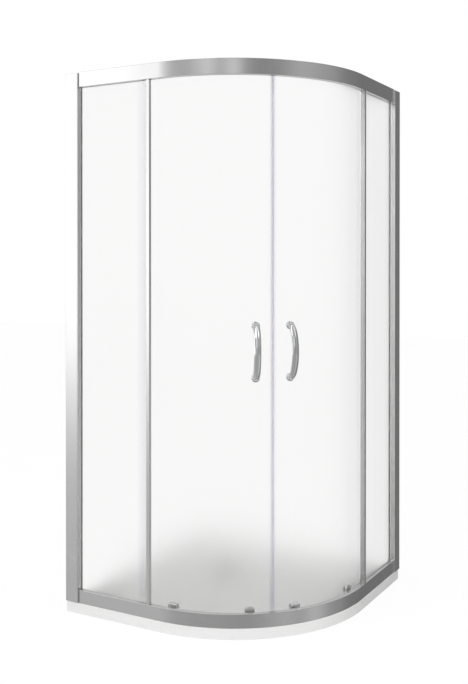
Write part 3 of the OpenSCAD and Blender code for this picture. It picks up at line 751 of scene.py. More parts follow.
@dataclass
class Rails:
    """The bent top and bottom rails, each one extrusion with its hollows and screw port."""

    face_h_top: float = 52.0
    face_h_bottom: float = 46.0
    depth: float = 71.0
    wall: float = 2.5
    web: float = 2.0
    slot_front: float = 12.5
    slot_back: float = 20.5
    ledge_z: float = 1820.0
    ledge_start: float = 49.3
    back_wall_h: float = 12.0
    slot_floor_z: float = 27.0
    port_depth: float = 6.5
    port_rise: float = 6.5
    port_r: float = 4.2
    port_bore_r: float = 1.8
    edge_r: float = 1.1
    turn_steps: int = 60
    port_steps: int = 16
    bore_sides: int = 12

    def build(self) -> None:
        """Builds both rails."""
        self._rail("top_rail_extrusion", "top_rail", self.top_section())
        self._rail("bottom_rail_extrusion", "bottom_rail", self.bottom_section())

    def port(self, z: float, up: bool) -> Loop:
        """Outline of the screw port's free side, which closes one end of the hollow.

        Args:
            z: Height of the port's middle.
            up: True where the port is at the hollow's upper end.

        Returns:
            The points from the face's side to the shower's side.
        """
        rest = math.degrees(math.acos((self.port_depth - self.wall) / self.port_r))
        if up:
            return arc((self.port_depth, z), self.port_r, 180 + rest, 360 - rest, self.port_steps)
        return arc((self.port_depth, z), self.port_r, 180 - rest, rest, self.port_steps)

    def bore(self, z: float) -> Loop:
        """Outline of the screw port's bore."""
        last = 360 - 360 / self.bore_sides
        return arc((self.port_depth, z), self.port_bore_r, 0, last, self.bore_sides - 1)

    def top_section(self) -> list[Loop]:
        """Draws the section of the top rail in depth and height.

        Returns:
            Its outline, then the outlines of its hollows.
        """
        top = LAYOUT.frame_h
        foot = top - self.face_h_top
        under = top - self.wall
        ledge_top = self.ledge_z + self.wall
        outline = [(0, foot), (0, top), (self.depth, top), (self.depth, self.ledge_z),
                   (self.ledge_start, self.ledge_z), (self.ledge_start, ledge_top),
                   (self.depth - self.web, ledge_top), (self.depth - self.web, under),
                   (self.slot_back + self.web, under), (self.slot_back + self.web, foot),
                   (self.slot_back, foot), (self.slot_back, under), (self.slot_front, under),
                   (self.slot_front, foot)]
        port_z = top - self.port_rise
        inner = self.slot_front - self.web
        hollow = [(self.wall, foot + self.wall), *self.port(port_z, True), (inner, foot + self.wall)]
        return [rounded(outline, self.edge_r), hollow, self.bore(port_z)]

    def bottom_section(self) -> list[Loop]:
        """Draws the section of the bottom rail in depth and height.

        Returns:
            Its outline, then the outlines of its hollows.
        """
        top = self.face_h_bottom
        under = top - self.wall
        outline = [(0, 0), (0, top), (self.slot_front, top),
                   (self.slot_front, self.slot_floor_z + self.wall),
                   (self.slot_back, self.slot_floor_z + self.wall), (self.slot_back, under),
                   (self.slot_back + self.web, under), (self.slot_back + self.web, self.wall),
                   (self.depth - self.web, self.wall), (self.depth - self.web, self.back_wall_h),
                   (self.depth, self.back_wall_h), (self.depth, 0)]
        inner = self.slot_front - self.web
        hollow = [(self.wall, under), *self.port(self.port_rise, False), (inner, under)]
        slot_hollow = [(self.slot_front, self.wall), (self.slot_front, self.slot_floor_z),
                       (self.slot_back, self.slot_floor_z), (self.slot_back, self.wall)]
        return [rounded(outline, self.edge_r), hollow, self.bore(self.port_rise), slot_hollow]

    def _rail(self, name: str, node: str, section: list[Loop]) -> None:
        """Sweeps a section along one straight, the curve and the other straight.

        Args:
            name: Name of the piece.
            node: CAD node that it replaces.
            section: Outline of the section, then the outlines of its hollows.
        """
        def on_straight(side: Side, x: float) -> Across:
            """Station across a straight."""
            return lambda depth, z: side.place(x, depth, z)

        def on_turn(angle: float) -> Across:
            """Station across the curve."""
            return lambda depth, z: Station(Side.LEFT, angle).at(0, depth, z)

        stations = [on_straight(Side.LEFT, LAYOUT.profile_w)]
        stations += [on_turn(90.0 * step / self.turn_steps) for step in range(self.turn_steps + 1)]
        stations += [on_straight(Side.RIGHT, LAYOUT.profile_w)]
        shell = Shell()
        shell.sweep(section, stations)
        shell.piece(name, "frame", ANODISED, [node])


@dataclass
class Tray:
    """The quadrant tray with its basin and the waste.

    Insets are distances from the edge of the tray or of its basin. The cover's dome gives radii and how far
    each lies below its top.
    """

    rim: float = 84.0
    wall_rim: float = 50.0
    floor_z: float = 18.0
    corner_r: float = 45.0
    outer_corner_r: float = 2.5
    edge_r: float = 2.0
    lip_r: float = 4.0
    fillet_r: float = 7.0
    fillet_inset: float = 0.5
    flat_inset: float = 30.0
    fan_inset: float = 40.0
    fan_corner_r: float = 20.0
    round_steps: int = 4
    corner_steps: int = 7
    curve_steps: int = 48
    side_steps: int = 8
    waste_at: float = 300.0
    dish_r: float = 190.0
    dish_bend: float = 0.7
    dish_fall: float = 1.2
    dish_foot_r: float = 60.0
    dish_z: float = 15.0
    recess_r: float = 56.5
    recess_edge: float = 0.6
    recess_z: float = 10.5
    hole_r: float = 45.0
    flange_edge: float = 0.4
    cover_z: float = 20.0
    cover_t: float = 3.0
    cover_dome: tuple[Flat, ...] = ((0.0, 0.0), (28.0, 0.1), (44.0, 0.5), (51.0, 1.0), (53.2, 1.6),
                                    (54.0, 2.2), (53.5, 2.8), (52.5, 3.0), (0.0, 3.0))
    cover_sides: int = 96
    foot_count: int = 3
    foot_first: float = 90.0
    foot_reach: float = 53.0
    foot_len: float = 10.0
    foot_w: float = 8.0
    foot_gap: float = 0.3
    foot_bite: float = 0.5
    foot_chamfer: float = 0.8

    def point(self, x: float, y: float, z: float) -> Vector:
        """Point of the model for a height above the floor of the room."""
        return Side.LEFT.place(x, y, z - LAYOUT.tray_h)

    def outline(self, rail_inset: float, wall_inset: float, corner_r: float) -> Loop:
        """Draws the quadrant with the same number of points for any inset.

        Args:
            rail_inset: Distance from the rails' face.
            wall_inset: Distance from the walls.
            corner_r: Radius of its three corners.

        Returns:
            The points in the left frame, in millimetres.
        """
        near = rail_inset
        far = LAYOUT.side_w - wall_inset
        low_x = wall_inset + corner_r
        turn = (LAYOUT.straight, LAYOUT.curve_r)
        parts = [
            arc((low_x, near + corner_r), corner_r, 180, 270, self.corner_steps),
            arc(turn, LAYOUT.curve_r - near, -90, 0, self.curve_steps),
            arc((LAYOUT.side_w - near - corner_r, far - corner_r), corner_r, 0, 90, self.corner_steps),
            arc((low_x, far - corner_r), corner_r, 90, 180, self.corner_steps),
        ]
        result: Loop = []
        for index, part in enumerate(parts):
            following = parts[(index + 1) % len(parts)][0]
            last = part[-1]
            result += part
            for step in range(1, self.side_steps):
                result.append((last[0] + (following[0] - last[0]) * step / self.side_steps,
                               last[1] + (following[1] - last[1]) * step / self.side_steps))
        return result

    def around_waste(self, floor: Loop, radius: float) -> Loop:
        """Draws a circle round the waste, with its points in the directions of the floor's outline.

        Args:
            floor: The floor's outline.
            radius: Radius of the circle.

        Returns:
            As many points as the floor's outline has.
        """
        middle_x = self.waste_at
        middle_y = LAYOUT.side_w - self.waste_at
        turns = [math.atan2(y - middle_y, x - middle_x) for x, y in floor]
        return [(middle_x + radius * math.cos(turn), middle_y + radius * math.sin(turn)) for turn in turns]

    def build(self) -> None:
        """Builds the tray and the waste cover, and dresses the rest of the waste."""
        self._shell()
        self._cover()
        dress("waste_flange", BRIGHT_CHROME, self.flange_edge)
        dress("waste_seal", RUBBER)

    def _shell(self) -> None:
        """Lofts the tray from its foot over the rim and the basin to the waste hole."""
        top = LAYOUT.tray_h
        rings = []

        def outer(inset: float, z: float) -> None:
            """Ring on the tray's outside."""
            points = self.outline(inset, inset, self.outer_corner_r)
            rings.append([self.point(x, y, z) for x, y in points])

        def basin(inset: float, z: float) -> None:
            """Ring in the basin, set in from its edge."""
            points = self.outline(self.rim + inset, self.wall_rim + inset, self.corner_r - inset)
            rings.append([self.point(x, y, z) for x, y in points])

        turns = [math.radians(90 * step / self.round_steps) for step in range(self.round_steps + 1)]
        outer(0.0, 0.0)
        for turn in turns:
            outer(self.edge_r * (1 - math.cos(turn)), top - self.edge_r * (1 - math.sin(turn)))
        for turn in reversed(turns):
            basin(self.lip_r * (math.cos(turn) - 1), top - self.lip_r * (1 - math.sin(turn)))
        for turn in turns:
            basin(self.fillet_r * (1 - math.cos(turn)) + self.fillet_inset,
                  self.floor_z + self.fillet_r * (1 - math.sin(turn)))
        basin(self.flat_inset, self.floor_z)
        floor = self.outline(self.rim + self.fan_inset, self.wall_rim + self.fan_inset, self.fan_corner_r)
        steps = ((self.dish_r, self.floor_z), (self.dish_r * self.dish_bend, self.floor_z - self.dish_fall),
                 (self.dish_foot_r, self.dish_z), (self.recess_r, self.dish_z - self.recess_edge),
                 (self.recess_r, self.recess_z), (self.hole_r, self.recess_z), (self.hole_r, 0.0))
        for radius, z in steps:
            rings.append([self.point(x, y, z) for x, y in self.around_waste(floor, radius)])
        shell = Shell()
        shell.loft(rings, closed=True)
        shell.piece("tray_shell", "frame", ACRYLIC, ["shower_tray"])

    def _cover(self) -> None:
        """Turns the domed waste cover and adds its feet."""
        middle = self.point(self.waste_at, LAYOUT.side_w - self.waste_at, 0)
        top = self.cover_z + self.cover_t
        shell = Shell()
        shell.turned([Turn(radius, top - drop) for radius, drop in self.cover_dome], middle, UP,
                     self.cover_sides)
        for index in range(self.foot_count):
            turn = math.radians(self.foot_first + 360 * index / self.foot_count)
            along = Vector((math.cos(turn), math.sin(turn), 0)) * MM
            beside = Vector((-math.sin(turn), math.cos(turn), 0)) * MM
            shell.block(lambda x, y, z: middle + along * x + beside * y + UP * MM * z,
                        (self.foot_reach - self.foot_len, -self.foot_w / 2, self.dish_z + self.foot_gap),
                        (self.foot_reach, self.foot_w / 2, self.cover_z + self.foot_bite),
                        self.foot_chamfer)
        shell.piece("waste_cover_disc", "waste_cover", BRIGHT_CHROME, ["waste_cover"])


@dataclass
class WallSides:
    """Wall profiles, adjusting profiles, fixed panes, posts and what holds them.

    The cap's dome gives radii and how far each lies above its seat.
    """

    profile_edge: float = 0.8
    stop_edge: float = 0.8
    cap_x: float = 20.0
    cap_seat: float = 25.9
    cap_bore_r: float = 4.1
    cap_bore_h: float = 2.2
    cap_dome: tuple[Flat, ...] = ((6.3, 0.0), (6.5, 0.3), (6.5, 2.2), (6.0, 3.1), (4.7, 3.7), (2.9, 4.0),
                                  (0.0, 4.0))
    cap_heights: tuple[float, ...] = (222.0, 924.25, 1626.5)

    def build(self) -> None:
        """Dresses the nodes of both sides and builds the caps."""
        for side in Side:
            dress(f"wall_profile_{side.value}", ANODISED, self.profile_edge)
            dress(f"adjusting_profile_{side.value}", ANODISED, self.profile_edge)
            dress(f"glass_post_{side.value}", ANODISED, self.profile_edge)
            dress(f"fixed_glass_{side.value}", FROSTED)
        dress("infill_strips", ANODISED)
        dress("glazing_gaskets", GASKET)
        dress("door_stops", RUBBER, self.stop_edge)
        dress("locking_screws", STEEL)
        dress("rail_screws", STEEL)
        self._caps()

    def _caps(self) -> None:
        """Turns the caps over the locking screws."""
        bore_floor = self.cap_seat + self.cap_bore_h
        profile = [Turn(0, bore_floor), Turn(self.cap_bore_r, bore_floor),
                   Turn(self.cap_bore_r, self.cap_seat)]
        profile += [Turn(radius, self.cap_seat + rise) for radius, rise in self.cap_dome]
        shell = Shell()
        for side in Side:
            inward = (side.place(0, 1, 0) - side.place(0, 0, 0)).normalized()
            for z in self.cap_heights:
                shell.turned(profile, side.place(self.cap_x, 0, z), inward)
        shell.piece("cover_caps", "frame", BRIGHT_CHROME, ["screw_caps"])


@dataclass
class Handle:
    """A bow handle on two round feet, with the screws that hold it.

    The rounding of a foot gives distances from its rim and from its front.
    """

    side: Side
    angle: float = 37.8
    mid_z: float = 894.0
    pitch: float = 172.0
    standoff: float = 44.0
    start: float = 5.0
    width: float = 24.0
    thickness: float = 15.0
    end_thickness: float = 20.0
    end_power: int = 6
    ridge: float = 0.34
    rings: int = 48
    sides: int = 32
    foot_r: float = 14.0
    foot_out: float = 9.0
    foot_chamfer: float = 0.4
    foot_round: tuple[Flat, ...] = ((0.0, 3.2), (0.5, 1.9), (1.5, 0.8), (3.0, 0.1), (4.5, 0.0))
    foot_sides: int = 48
    washer_t: float = 1.0
    screw: SocketScrew = SocketScrew(tip=27.0, seat=46.1, shank_r=2.5, head_r=8.0, head_h=4.0)

    def build(self) -> None:
        """Builds the handle and its screws and dresses its washers."""
        station = Station(self.side, self.angle)
        shell = Shell()
        self._bow(shell, station)
        self._feet(shell, station)
        name = self.side.value
        body = f"door_{name}"
        shell.piece(f"bow_handle_{name}", body, BRIGHT_CHROME, [f"handle_{name}"])
        screws = Shell()
        for z in self.heights:
            self.screw.add(screws, station, 0, z)
        screws.piece(f"handle_bolts_{name}", body, BRIGHT_CHROME, [f"handle_screws_{name}"])
        dress(f"handle_washers_{name}", CLEAR_SEAL)

    @property
    def heights(self) -> tuple[float, float]:
        """Heights of the two feet."""
        return (self.mid_z - self.pitch / 2, self.mid_z + self.pitch / 2)

    def _bow(self, shell: Shell, station: Station) -> None:
        """Lofts the bow along its half ellipse, with a soft ridge along its outside.

        Args:
            shell: Mesh that the bow goes into.
            station: Place on the curve.
        """
        rise = self.standoff - self.start
        reach = self.pitch / 2
        rings = []
        for index in range(self.rings + 1):
            t = math.radians(-90 + 180 * index / self.rings)
            out = self.start + rise * math.cos(t)
            z = self.mid_z + reach * math.sin(t)
            tilt = math.atan2(reach * math.cos(t), rise * math.sin(t))
            end = abs(math.sin(t)) ** self.end_power
            half_t = (self.thickness + (self.end_thickness - self.thickness) * end) / 2
            ridge = self.ridge * (1 - end)
            points = []
            for corner in range(self.sides):
                s = math.tau * corner / self.sides
                x = self.width / 2 * math.cos(s)
                lift = math.sin(s)
                if lift > 0:
                    lift = (1 - ridge) * lift + ridge * (1 - abs(math.cos(s)))
                v = half_t * lift
                depth = LAYOUT.door_depth - out - v * math.sin(tilt)
                points.append(station.at(x, depth, z + v * math.cos(tilt)))
            rings.append(points)
        shell.loft(rings)

    def _feet(self, shell: Shell, station: Station) -> None:
        """Turns the two round feet.

        Args:
            shell: Mesh that the feet go into.
            station: Place on the curve.
        """
        back = LAYOUT.door_depth - self.washer_t
        front = LAYOUT.door_depth - self.foot_out
        profile = [Turn(0, back), Turn(self.foot_r - self.foot_chamfer, back),
                   Turn(self.foot_r, back - self.foot_chamfer)]
        profile += [Turn(self.foot_r - inset, front + rise) for inset, rise in self.foot_round]
        profile.append(Turn(0, front))
        for z in self.heights:
            shell.turned(profile, station.at(0, 0, z), station.inward, self.foot_sides)


@dataclass
class Roller:
    """One roller set of a door: the wheels above and below, and the sprung carriage with its button.

    The faces of the tyre and the bearing give radii and distances from the wheel's middle. The axle's head
    gives radii and distances beyond the wheel, and the button's rounding gives heights and insets.
    """

    side: Side
    wheelset: Wheelset
    wheel_t: float = 5.0
    wheel_play: float = 0.3
    wheel_sides: int = 40
    tyre_face: tuple[Flat, ...] = ((6.0, 2.2), (7.0, 2.2), (7.2, 2.5), (9.2, 2.5), (9.8, 2.1), (10.0, 1.3))
    bearing_face: tuple[Flat, ...] = ((2.55, 2.1), (3.65, 2.1), (3.75, 1.8), (5.0, 1.8), (5.1, 2.1),
                                      (6.0, 2.1))
    top_z: float = 1832.8
    low_z: float = 12.8
    carriage_half_w: float = 7.0
    carriage_front: float = 35.0
    carriage_back: float = 38.0
    carriage_foot: float = 6.8
    carriage_top: float = 54.8
    carriage_round: float = 2.0
    window_half_w: float = 2.3
    window_foot: float = 17.0
    window_top: float = 51.5
    window_round: float = 0.8
    axle_r: float = 2.5
    axle_bite: float = 0.5
    collar_r: float = 4.0
    collar_chamfer: float = 0.3
    axle_head: tuple[Flat, ...] = ((3.7, 0.0), (4.0, 0.3), (3.6, 0.8), (2.4, 1.0), (0.0, 1.0))
    button_half_w: float = 10.0
    button_front: float = 33.0
    button_back: float = 39.5
    button_z: float = 54.3
    button_round: tuple[Flat, ...] = ((0.0, 0.5), (0.5, 0.0), (2.4, 0.0), (3.3, 0.8), (3.7, 1.8))
    button_back_share: float = 0.5
    button_corner_r: float = 2.2
    button_corner_steps: int = 5
    spring_depth: float = 36.5
    spring_top: float = 48.9
    spring_r: float = 1.0
    spring_wire_r: float = 0.3
    spring_wire_sides: int = 8
    spring_turns: int = 7
    spring_steps: int = 16
    spring_keep: float = 0.62

    @property
    def station(self) -> Station:
        """Place of this roller set on the curve."""
        return Station(self.side, self.wheelset.angle)

    @property
    def label(self) -> str:
        """Ending of the names of its nodes and bodies."""
        return f"{self.side.value}_{self.wheelset.value}"

    def build(self) -> None:
        """Builds both wheels, the carriage and its spring."""
        for row, z in (("top", self.top_z), ("lower", self.low_z)):
            self._wheel(f"{row}_wheel_{self.label}", z)
        self._carriage()
        self._spring()

    def _wheel(self, node: str, z: float) -> None:
        """Turns a nylon tyre with a crowned tread and the ball bearing inside it.

        Args:
            node: CAD node that the wheel replaces, which is also its body's name.
            z: Height of the wheel's middle.
        """
        self._ring(f"{node}_tyre", node, z, self.tyre_face, NYLON, [node])
        self._ring(f"{node}_bearing", node, z, self.bearing_face, BEARING_SHIELD, [])

    def _ring(self, name: str, body: str, z: float, face: Sequence[Flat], finish: Finish,
              stands_for: Sequence[str]) -> None:
        """Turns a ring with two equal faces and a bore.

        Args:
            name: Name of the piece.
            body: Body that it moves with.
            z: Height of its middle.
            face: Radii of one face, each with its distance from the middle.
            finish: Its finish.
            stands_for: CAD nodes that it replaces.
        """
        profile = [Turn(radius, -along) for radius, along in face]
        profile += [Turn(radius, along) for radius, along in reversed(face)]
        shell = Shell()
        shell.turned(profile, self.station.at(0, LAYOUT.wheel_depth, z), self.station.inward,
                     self.wheel_sides, closed=True)
        shell.piece(name, body, finish, stands_for)

    def _carriage(self) -> None:
        """Builds the slide with its window, the button and the lower wheel's stub axle."""
        station = self.station
        node = f"release_carriage_{self.label}"
        front, back = self.carriage_front, self.carriage_back
        half_w = self.carriage_half_w
        outline = rectangle(-half_w, self.carriage_foot, half_w, self.carriage_top)
        window = rectangle(-self.window_half_w, self.window_foot, self.window_half_w, self.window_top)
        shell = Shell()
        shell.sweep([rounded(outline, self.carriage_round), rounded(window, self.window_round)],
                    [lambda x, z: station.at(x, front, z), lambda x, z: station.at(x, back, z)])
        self._button(shell)
        shell.piece(f"{node}_slide", node, SATIN_CHROME, [node])
        foot = back - self.axle_bite
        inner = LAYOUT.wheel_depth - self.wheel_t / 2 - self.wheel_play
        outer = LAYOUT.wheel_depth + self.wheel_t / 2 + self.wheel_play
        profile = [Turn(0, foot), Turn(self.collar_r, foot),
                   Turn(self.collar_r, inner - self.collar_chamfer),
                   Turn(self.collar_r - self.collar_chamfer, inner), Turn(self.axle_r, inner),
                   Turn(self.axle_r, outer)]
        profile += [Turn(radius, outer + beyond) for radius, beyond in self.axle_head]
        axle = Shell()
        axle.turned(profile, station.at(0, 0, self.low_z), station.inward)
        axle.piece(f"{node}_axle", node, STEEL)

    def _button(self, shell: Shell) -> None:
        """Lofts the release button with rounded ends and a chamfered top.

        Args:
            shell: Mesh that the button goes into.
        """
        rings = []
        for rise, inset in self.button_round:
            half_w = self.button_half_w - inset
            outline = rectangle(-half_w, self.button_front + inset, half_w,
                                self.button_back - inset * self.button_back_share)
            corners = rounded(outline, self.button_corner_r, self.button_corner_steps)
            rings.append([self.station.at(x, y, self.button_z + rise) for x, y in corners])
        shell.loft(rings)

    def _spring(self) -> None:
        """Winds the coil spring with closed end turns."""
        wire = 2 * self.spring_wire_r
        open_turns = self.spring_turns - 2
        open_h = self.spring_top - self.window_foot - 3 * wire
        rings = []
        for step in range(self.spring_turns * self.spring_steps + 1):
            turn = step / self.spring_steps
            closed = min(turn, 1.0) + max(turn - self.spring_turns + 1, 0.0)
            wound = min(max(turn - 1, 0.0), open_turns) / open_turns
            z = self.window_foot + self.spring_wire_r + wire * closed + open_h * wound
            points = []
            for corner in range(self.spring_wire_sides):
                around = math.tau * corner / self.spring_wire_sides
                out = self.spring_r + self.spring_wire_r * math.cos(around)
                x = out * math.cos(math.tau * turn)
                depth = self.spring_depth + out * math.sin(math.tau * turn)
                points.append(self.station.at(x, depth, z + self.spring_wire_r * math.sin(around)))
            rings.append(points)
        shell = Shell()
        shell.loft(rings)
        coil = shell.piece(f"coil_spring_{self.label}", f"door_{self.side.value}", STEEL,
                           [f"release_spring_{self.label}"])
        top = self.station.at(0, self.spring_depth, self.spring_top)
        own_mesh(coil)


@dataclass
class Door:
    """A sliding door: bent pane, handle, seals, hangers, housings and their fastenings.

    The rounding of a housing gives heights and insets.
    """

    side: Side
    bracket_edge: float = 0.4
    glass_gap: float = 0.05
    seal_bite: float = 6.0
    seal_head: float = 4.0
    seal_gap: float = 0.3
    seal_t: float = 1.5
    seal_end: float = 2.0
    seal_lead: float = 0.3
    seal_round: float = 0.6
    pocket_inner: float = 0.8
    pocket_outer: float = 0.6
    pocket_wall: float = 1.4
    pocket_round: float = 0.4
    magnet_play: Flat = (0.2, 0.3)
    magnet_end: float = 1.0
    magnet_round: float = 0.3
    trailing_x: float = 300.5
    trailing_foot: float = 49.0
    trailing_top: float = 1795.0
    trailing_round: float = 0.4
    fin_t: float = 1.0
    fin_tip: float = 19.6
    housing_half_w: float = 17.0
    housing_front: float = 33.0
    housing_z: float = 32.0
    housing_h: float = 22.0
    housing_round: tuple[Flat, ...] = ((0.0, 1.2), (0.5, 0.4), (1.4, 0.0), (18.0, 0.0), (20.4, 0.7),
                                       (21.5, 1.8), (22.0, 3.0))
    housing_front_share: float = 0.6
    housing_corner_r: float = 2.4
    slot_half_w: float = 7.3
    slot_front: float = 34.7
    slot_back: float = 38.3
    slot_corner_r: float = 0.3
    corner_steps: int = 5
    bar_half_w: float = 1.7
    bar_foot: float = 17.0
    bar_top: float = 19.0
    bar_bite: float = 0.2
    bar_chamfer: float = 0.15
    bolt_x: float = 12.5
    bolt: SocketScrew = SocketScrew(tip=35.0, seat=48.5, shank_r=2.0, head_r=3.5, head_h=2.5)
    hanger_bolt: SocketScrew = SocketScrew(tip=45.3, seat=48.7, shank_r=2.0, head_r=3.5, head_h=2.5)
    hanger_bolt_drop: float = 4.5

    @property
    def body(self) -> str:
        """Body of this door."""
        return f"door_{self.side.value}"

    def build(self) -> None:
        """Builds the door's own pieces and dresses its nodes."""
        name = self.side.value
        dress(f"door_glass_{name}", FROSTED)
        dress(f"top_hangers_{name}", STEEL, self.bracket_edge)
        dress(f"top_axles_{name}", STEEL)
        dress(f"clamp_plates_{name}", STEEL, self.bracket_edge)
        self._meeting_seal()
        self._trailing_seal()
        self._housings()
        self._fastenings()
        Handle(self.side).build()
        for wheelset in Wheelset:
            Roller(self.side, wheelset).build()

    def _along_pane(self, along: float, depth: float, z: float) -> Vector:
        """Finds a point near the meeting line by its distance along the bent pane.

        Args:
            along: Distance from the meeting line, in millimetres.
            depth: Depth behind the rail's face.
            z: Height above the foot of the metal frame.

        Returns:
            The point in metres.
        """
        middle_r = LAYOUT.curve_r - LAYOUT.door_depth - LAYOUT.door_glass_t / 2
        angle = LAYOUT.meeting_angle + math.degrees(along / middle_r)
        return Station(self.side, angle).at(0, depth, z)

    def _seal_depths(self) -> tuple[float, float, float, float]:
        """Gives the depths of a seal's faces, from the outside inward.

        Returns:
            Outer face, outer and inner side of the groove for the glass, and inner face.
        """
        near = LAYOUT.door_depth
        far = LAYOUT.door_depth + LAYOUT.door_glass_t
        return near - self.seal_t, near - self.glass_gap, far + self.glass_gap, far + self.seal_t

    def _meeting_seal(self) -> None:
        """Extrudes the clear channel on the pane's edge and the magnet strip in its head."""
        near, glass_near, glass_far, far = self._seal_depths()
        face = -self.seal_gap
        edge = face - self.seal_head
        bite = edge - self.seal_bite
        groove = edge - self.glass_gap
        outline = [(bite, near + self.seal_lead), (edge, near), (face, near), (face, far), (edge, far),
                   (bite, far - self.seal_lead), (bite, glass_far), (groove, glass_far),
                   (groove, glass_near), (bite, glass_near)]
        left, right = edge + self.pocket_inner, face - self.pocket_outer
        low, high = near + self.pocket_wall, far - self.pocket_wall
        play_x, play_y = self.magnet_play
        pocket = rectangle(left, low, right, high)
        strip = rectangle(left + play_x, low + play_y, right - play_x, high - play_y)
        foot = LAYOUT.door_foot_z + self.seal_end
        top = LAYOUT.door_top_z - self.seal_end
        name = self.side.value
        channel = Shell()
        channel.extrude([rounded(outline, self.seal_round), rounded(pocket, self.pocket_round)],
                        self._along_pane, foot, top)
        channel.piece(f"meeting_channel_{name}", self.body, CLEAR_SEAL, [f"meeting_seal_{name}"])
        magnet = Shell()
        magnet.extrude([rounded(strip, self.magnet_round)], self._along_pane,
                       foot + self.magnet_end, top - self.magnet_end)
        magnet.piece(f"meeting_magnet_{name}", self.body, MAGNET)

    def _trailing_seal(self) -> None:
        """Extrudes the clear channel on the pane's hidden edge, with its fin toward the fixed pane."""
        near, glass_near, glass_far, far = self._seal_depths()
        start = self.trailing_x - self.seal_bite
        end = self.trailing_x + self.seal_bite
        groove = self.trailing_x - self.glass_gap
        outline = [(start, self.fin_tip), (start + self.fin_t, self.fin_tip), (start + self.fin_t, near),
                   (end, near), (end, glass_near), (groove, glass_near), (groove, glass_far),
                   (end, glass_far), (end, far), (start, far)]
        name = self.side.value
        channel = Shell()
        channel.extrude([rounded(outline, self.trailing_round)], self.side.place,
                        self.trailing_foot, self.trailing_top)
        channel.piece(f"trailing_channel_{name}", self.body, CLEAR_SEAL, [f"trailing_seal_{name}"])

    def _housings(self) -> None:
        """Lofts the two housings, each with its carriage's slot and the bar that the spring presses on."""
        shell = Shell()
        for wheelset in Wheelset:
            station = Station(self.side, wheelset.angle)
            rings = [self._plan(station, self.housing_half_w - inset,
                                self.housing_front + inset * self.housing_front_share, LAYOUT.door_depth,
                                self.housing_corner_r, rise)
                     for rise, inset in self.housing_round]
            rings += [self._plan(station, self.slot_half_w, self.slot_front, self.slot_back,
                                 self.slot_corner_r, rise)
                      for rise in (self.housing_h, 0.0)]
            shell.loft(rings, closed=True)
            shell.block(station.at,
                        (-self.bar_half_w, self.slot_front - self.bar_bite, self.housing_z + self.bar_foot),
                        (self.bar_half_w, self.slot_back + self.bar_bite, self.housing_z + self.bar_top),
                        self.bar_chamfer)
        name = self.side.value
        shell.piece(f"roller_housings_{name}", self.body, SATIN_CHROME, [f"lower_housings_{name}"])

    def _plan(self, station: Station, half_w: float, front: float, back: float, radius: float,
              rise: float) -> list[Vector]:
        """Draws a housing at one height, seen from above.

        Args:
            station: Place on the curve.
            half_w: Half of its width.
            front: Depth of its front.
            back: Depth of its back.
            radius: Rounding of its corners.
            rise: Height above the housing's foot.

        Returns:
            The ring's points.
        """
        outline = rounded(rectangle(-half_w, front, half_w, back), radius, self.corner_steps)
        return [station.at(x, y, self.housing_z + rise) for x, y in outline]

    def _fastenings(self) -> None:
        """Turns the bolts of the housings and the screws of the hangers."""
        bolts = Shell()
        hanger_bolts = Shell()
        for wheelset in Wheelset:
            station = Station(self.side, wheelset.angle)
            for x in (-self.bolt_x, self.bolt_x):
                self.bolt.add(bolts, station, x, self.housing_z + self.housing_h / 2)
            self.hanger_bolt.add(hanger_bolts, station, 0, LAYOUT.door_top_z - self.hanger_bolt_drop)
        name = self.side.value
        bolts.piece(f"clamp_bolts_{name}", self.body, STEEL, [f"housing_bolts_{name}"])
        hanger_bolts.piece(f"hanger_bolts_{name}", self.body, STEEL, [f"hanger_screws_{name}"])


@dataclass(frozen=True)
class Lamp:
    """A large soft lamp that metal and glass don't mirror."""

    name: str
    at: tuple[float, float, float]
    aim: tuple[float, float, float]
    size: float
    power: float

    def build(self) -> None:
        """Builds the lamp."""
        data = bpy.data.lights.new(self.name, "AREA")
        data.size = self.size
        data.energy = self.power
        made = bpy.data.objects.new(self.name, data)
        made.location = self.at
        made.rotation_euler = (Vector(self.aim) - Vector(self.at)).to_track_quat("-Z", "Y").to_euler()
        made.visible_glossy = False
        bpy.context.scene.collection.objects.link(made)


@dataclass(frozen=True)
class LightRing:
    """Levels of light round the room, which take over from the ring below between two heights.

    The levels go round from the front, from -180 to 180 degrees, positive toward +X. The heights are the
    upward part of a direction, from -1 to 1. The lowest ring begins at -1.
    """

    name: str
    levels: tuple[Flat, ...]
    fade_low: float = -1.0
    fade_high: float = -1.0

    def level(self, graph: Graph, share: bpy.types.NodeSocket) -> bpy.types.NodeSocket:
        """Gives the level of light in a direction.

        Args:
            graph: The world's graph.
            share: Part of the way round, from 0 to 1.

        Returns:
            The level.
        """
        brightest = max(level for _, level in self.levels)
        ramp = graph.node("ShaderNodeValToRGB", label=self.name)
        ramp.color_ramp.interpolation = "EASE"
        stops = ramp.color_ramp.elements
        while len(stops) < len(self.levels):
            stops.new(0.5)
        for stop, (angle, level) in zip(stops, self.levels):
            grey = level / brightest
            stop.position = (angle + 180) / 360
            stop.color = (grey, grey, grey, 1.0)
        graph.join(share, ramp.inputs["Fac"])
        return graph.math("MULTIPLY", ramp.outputs["Color"], brightest)


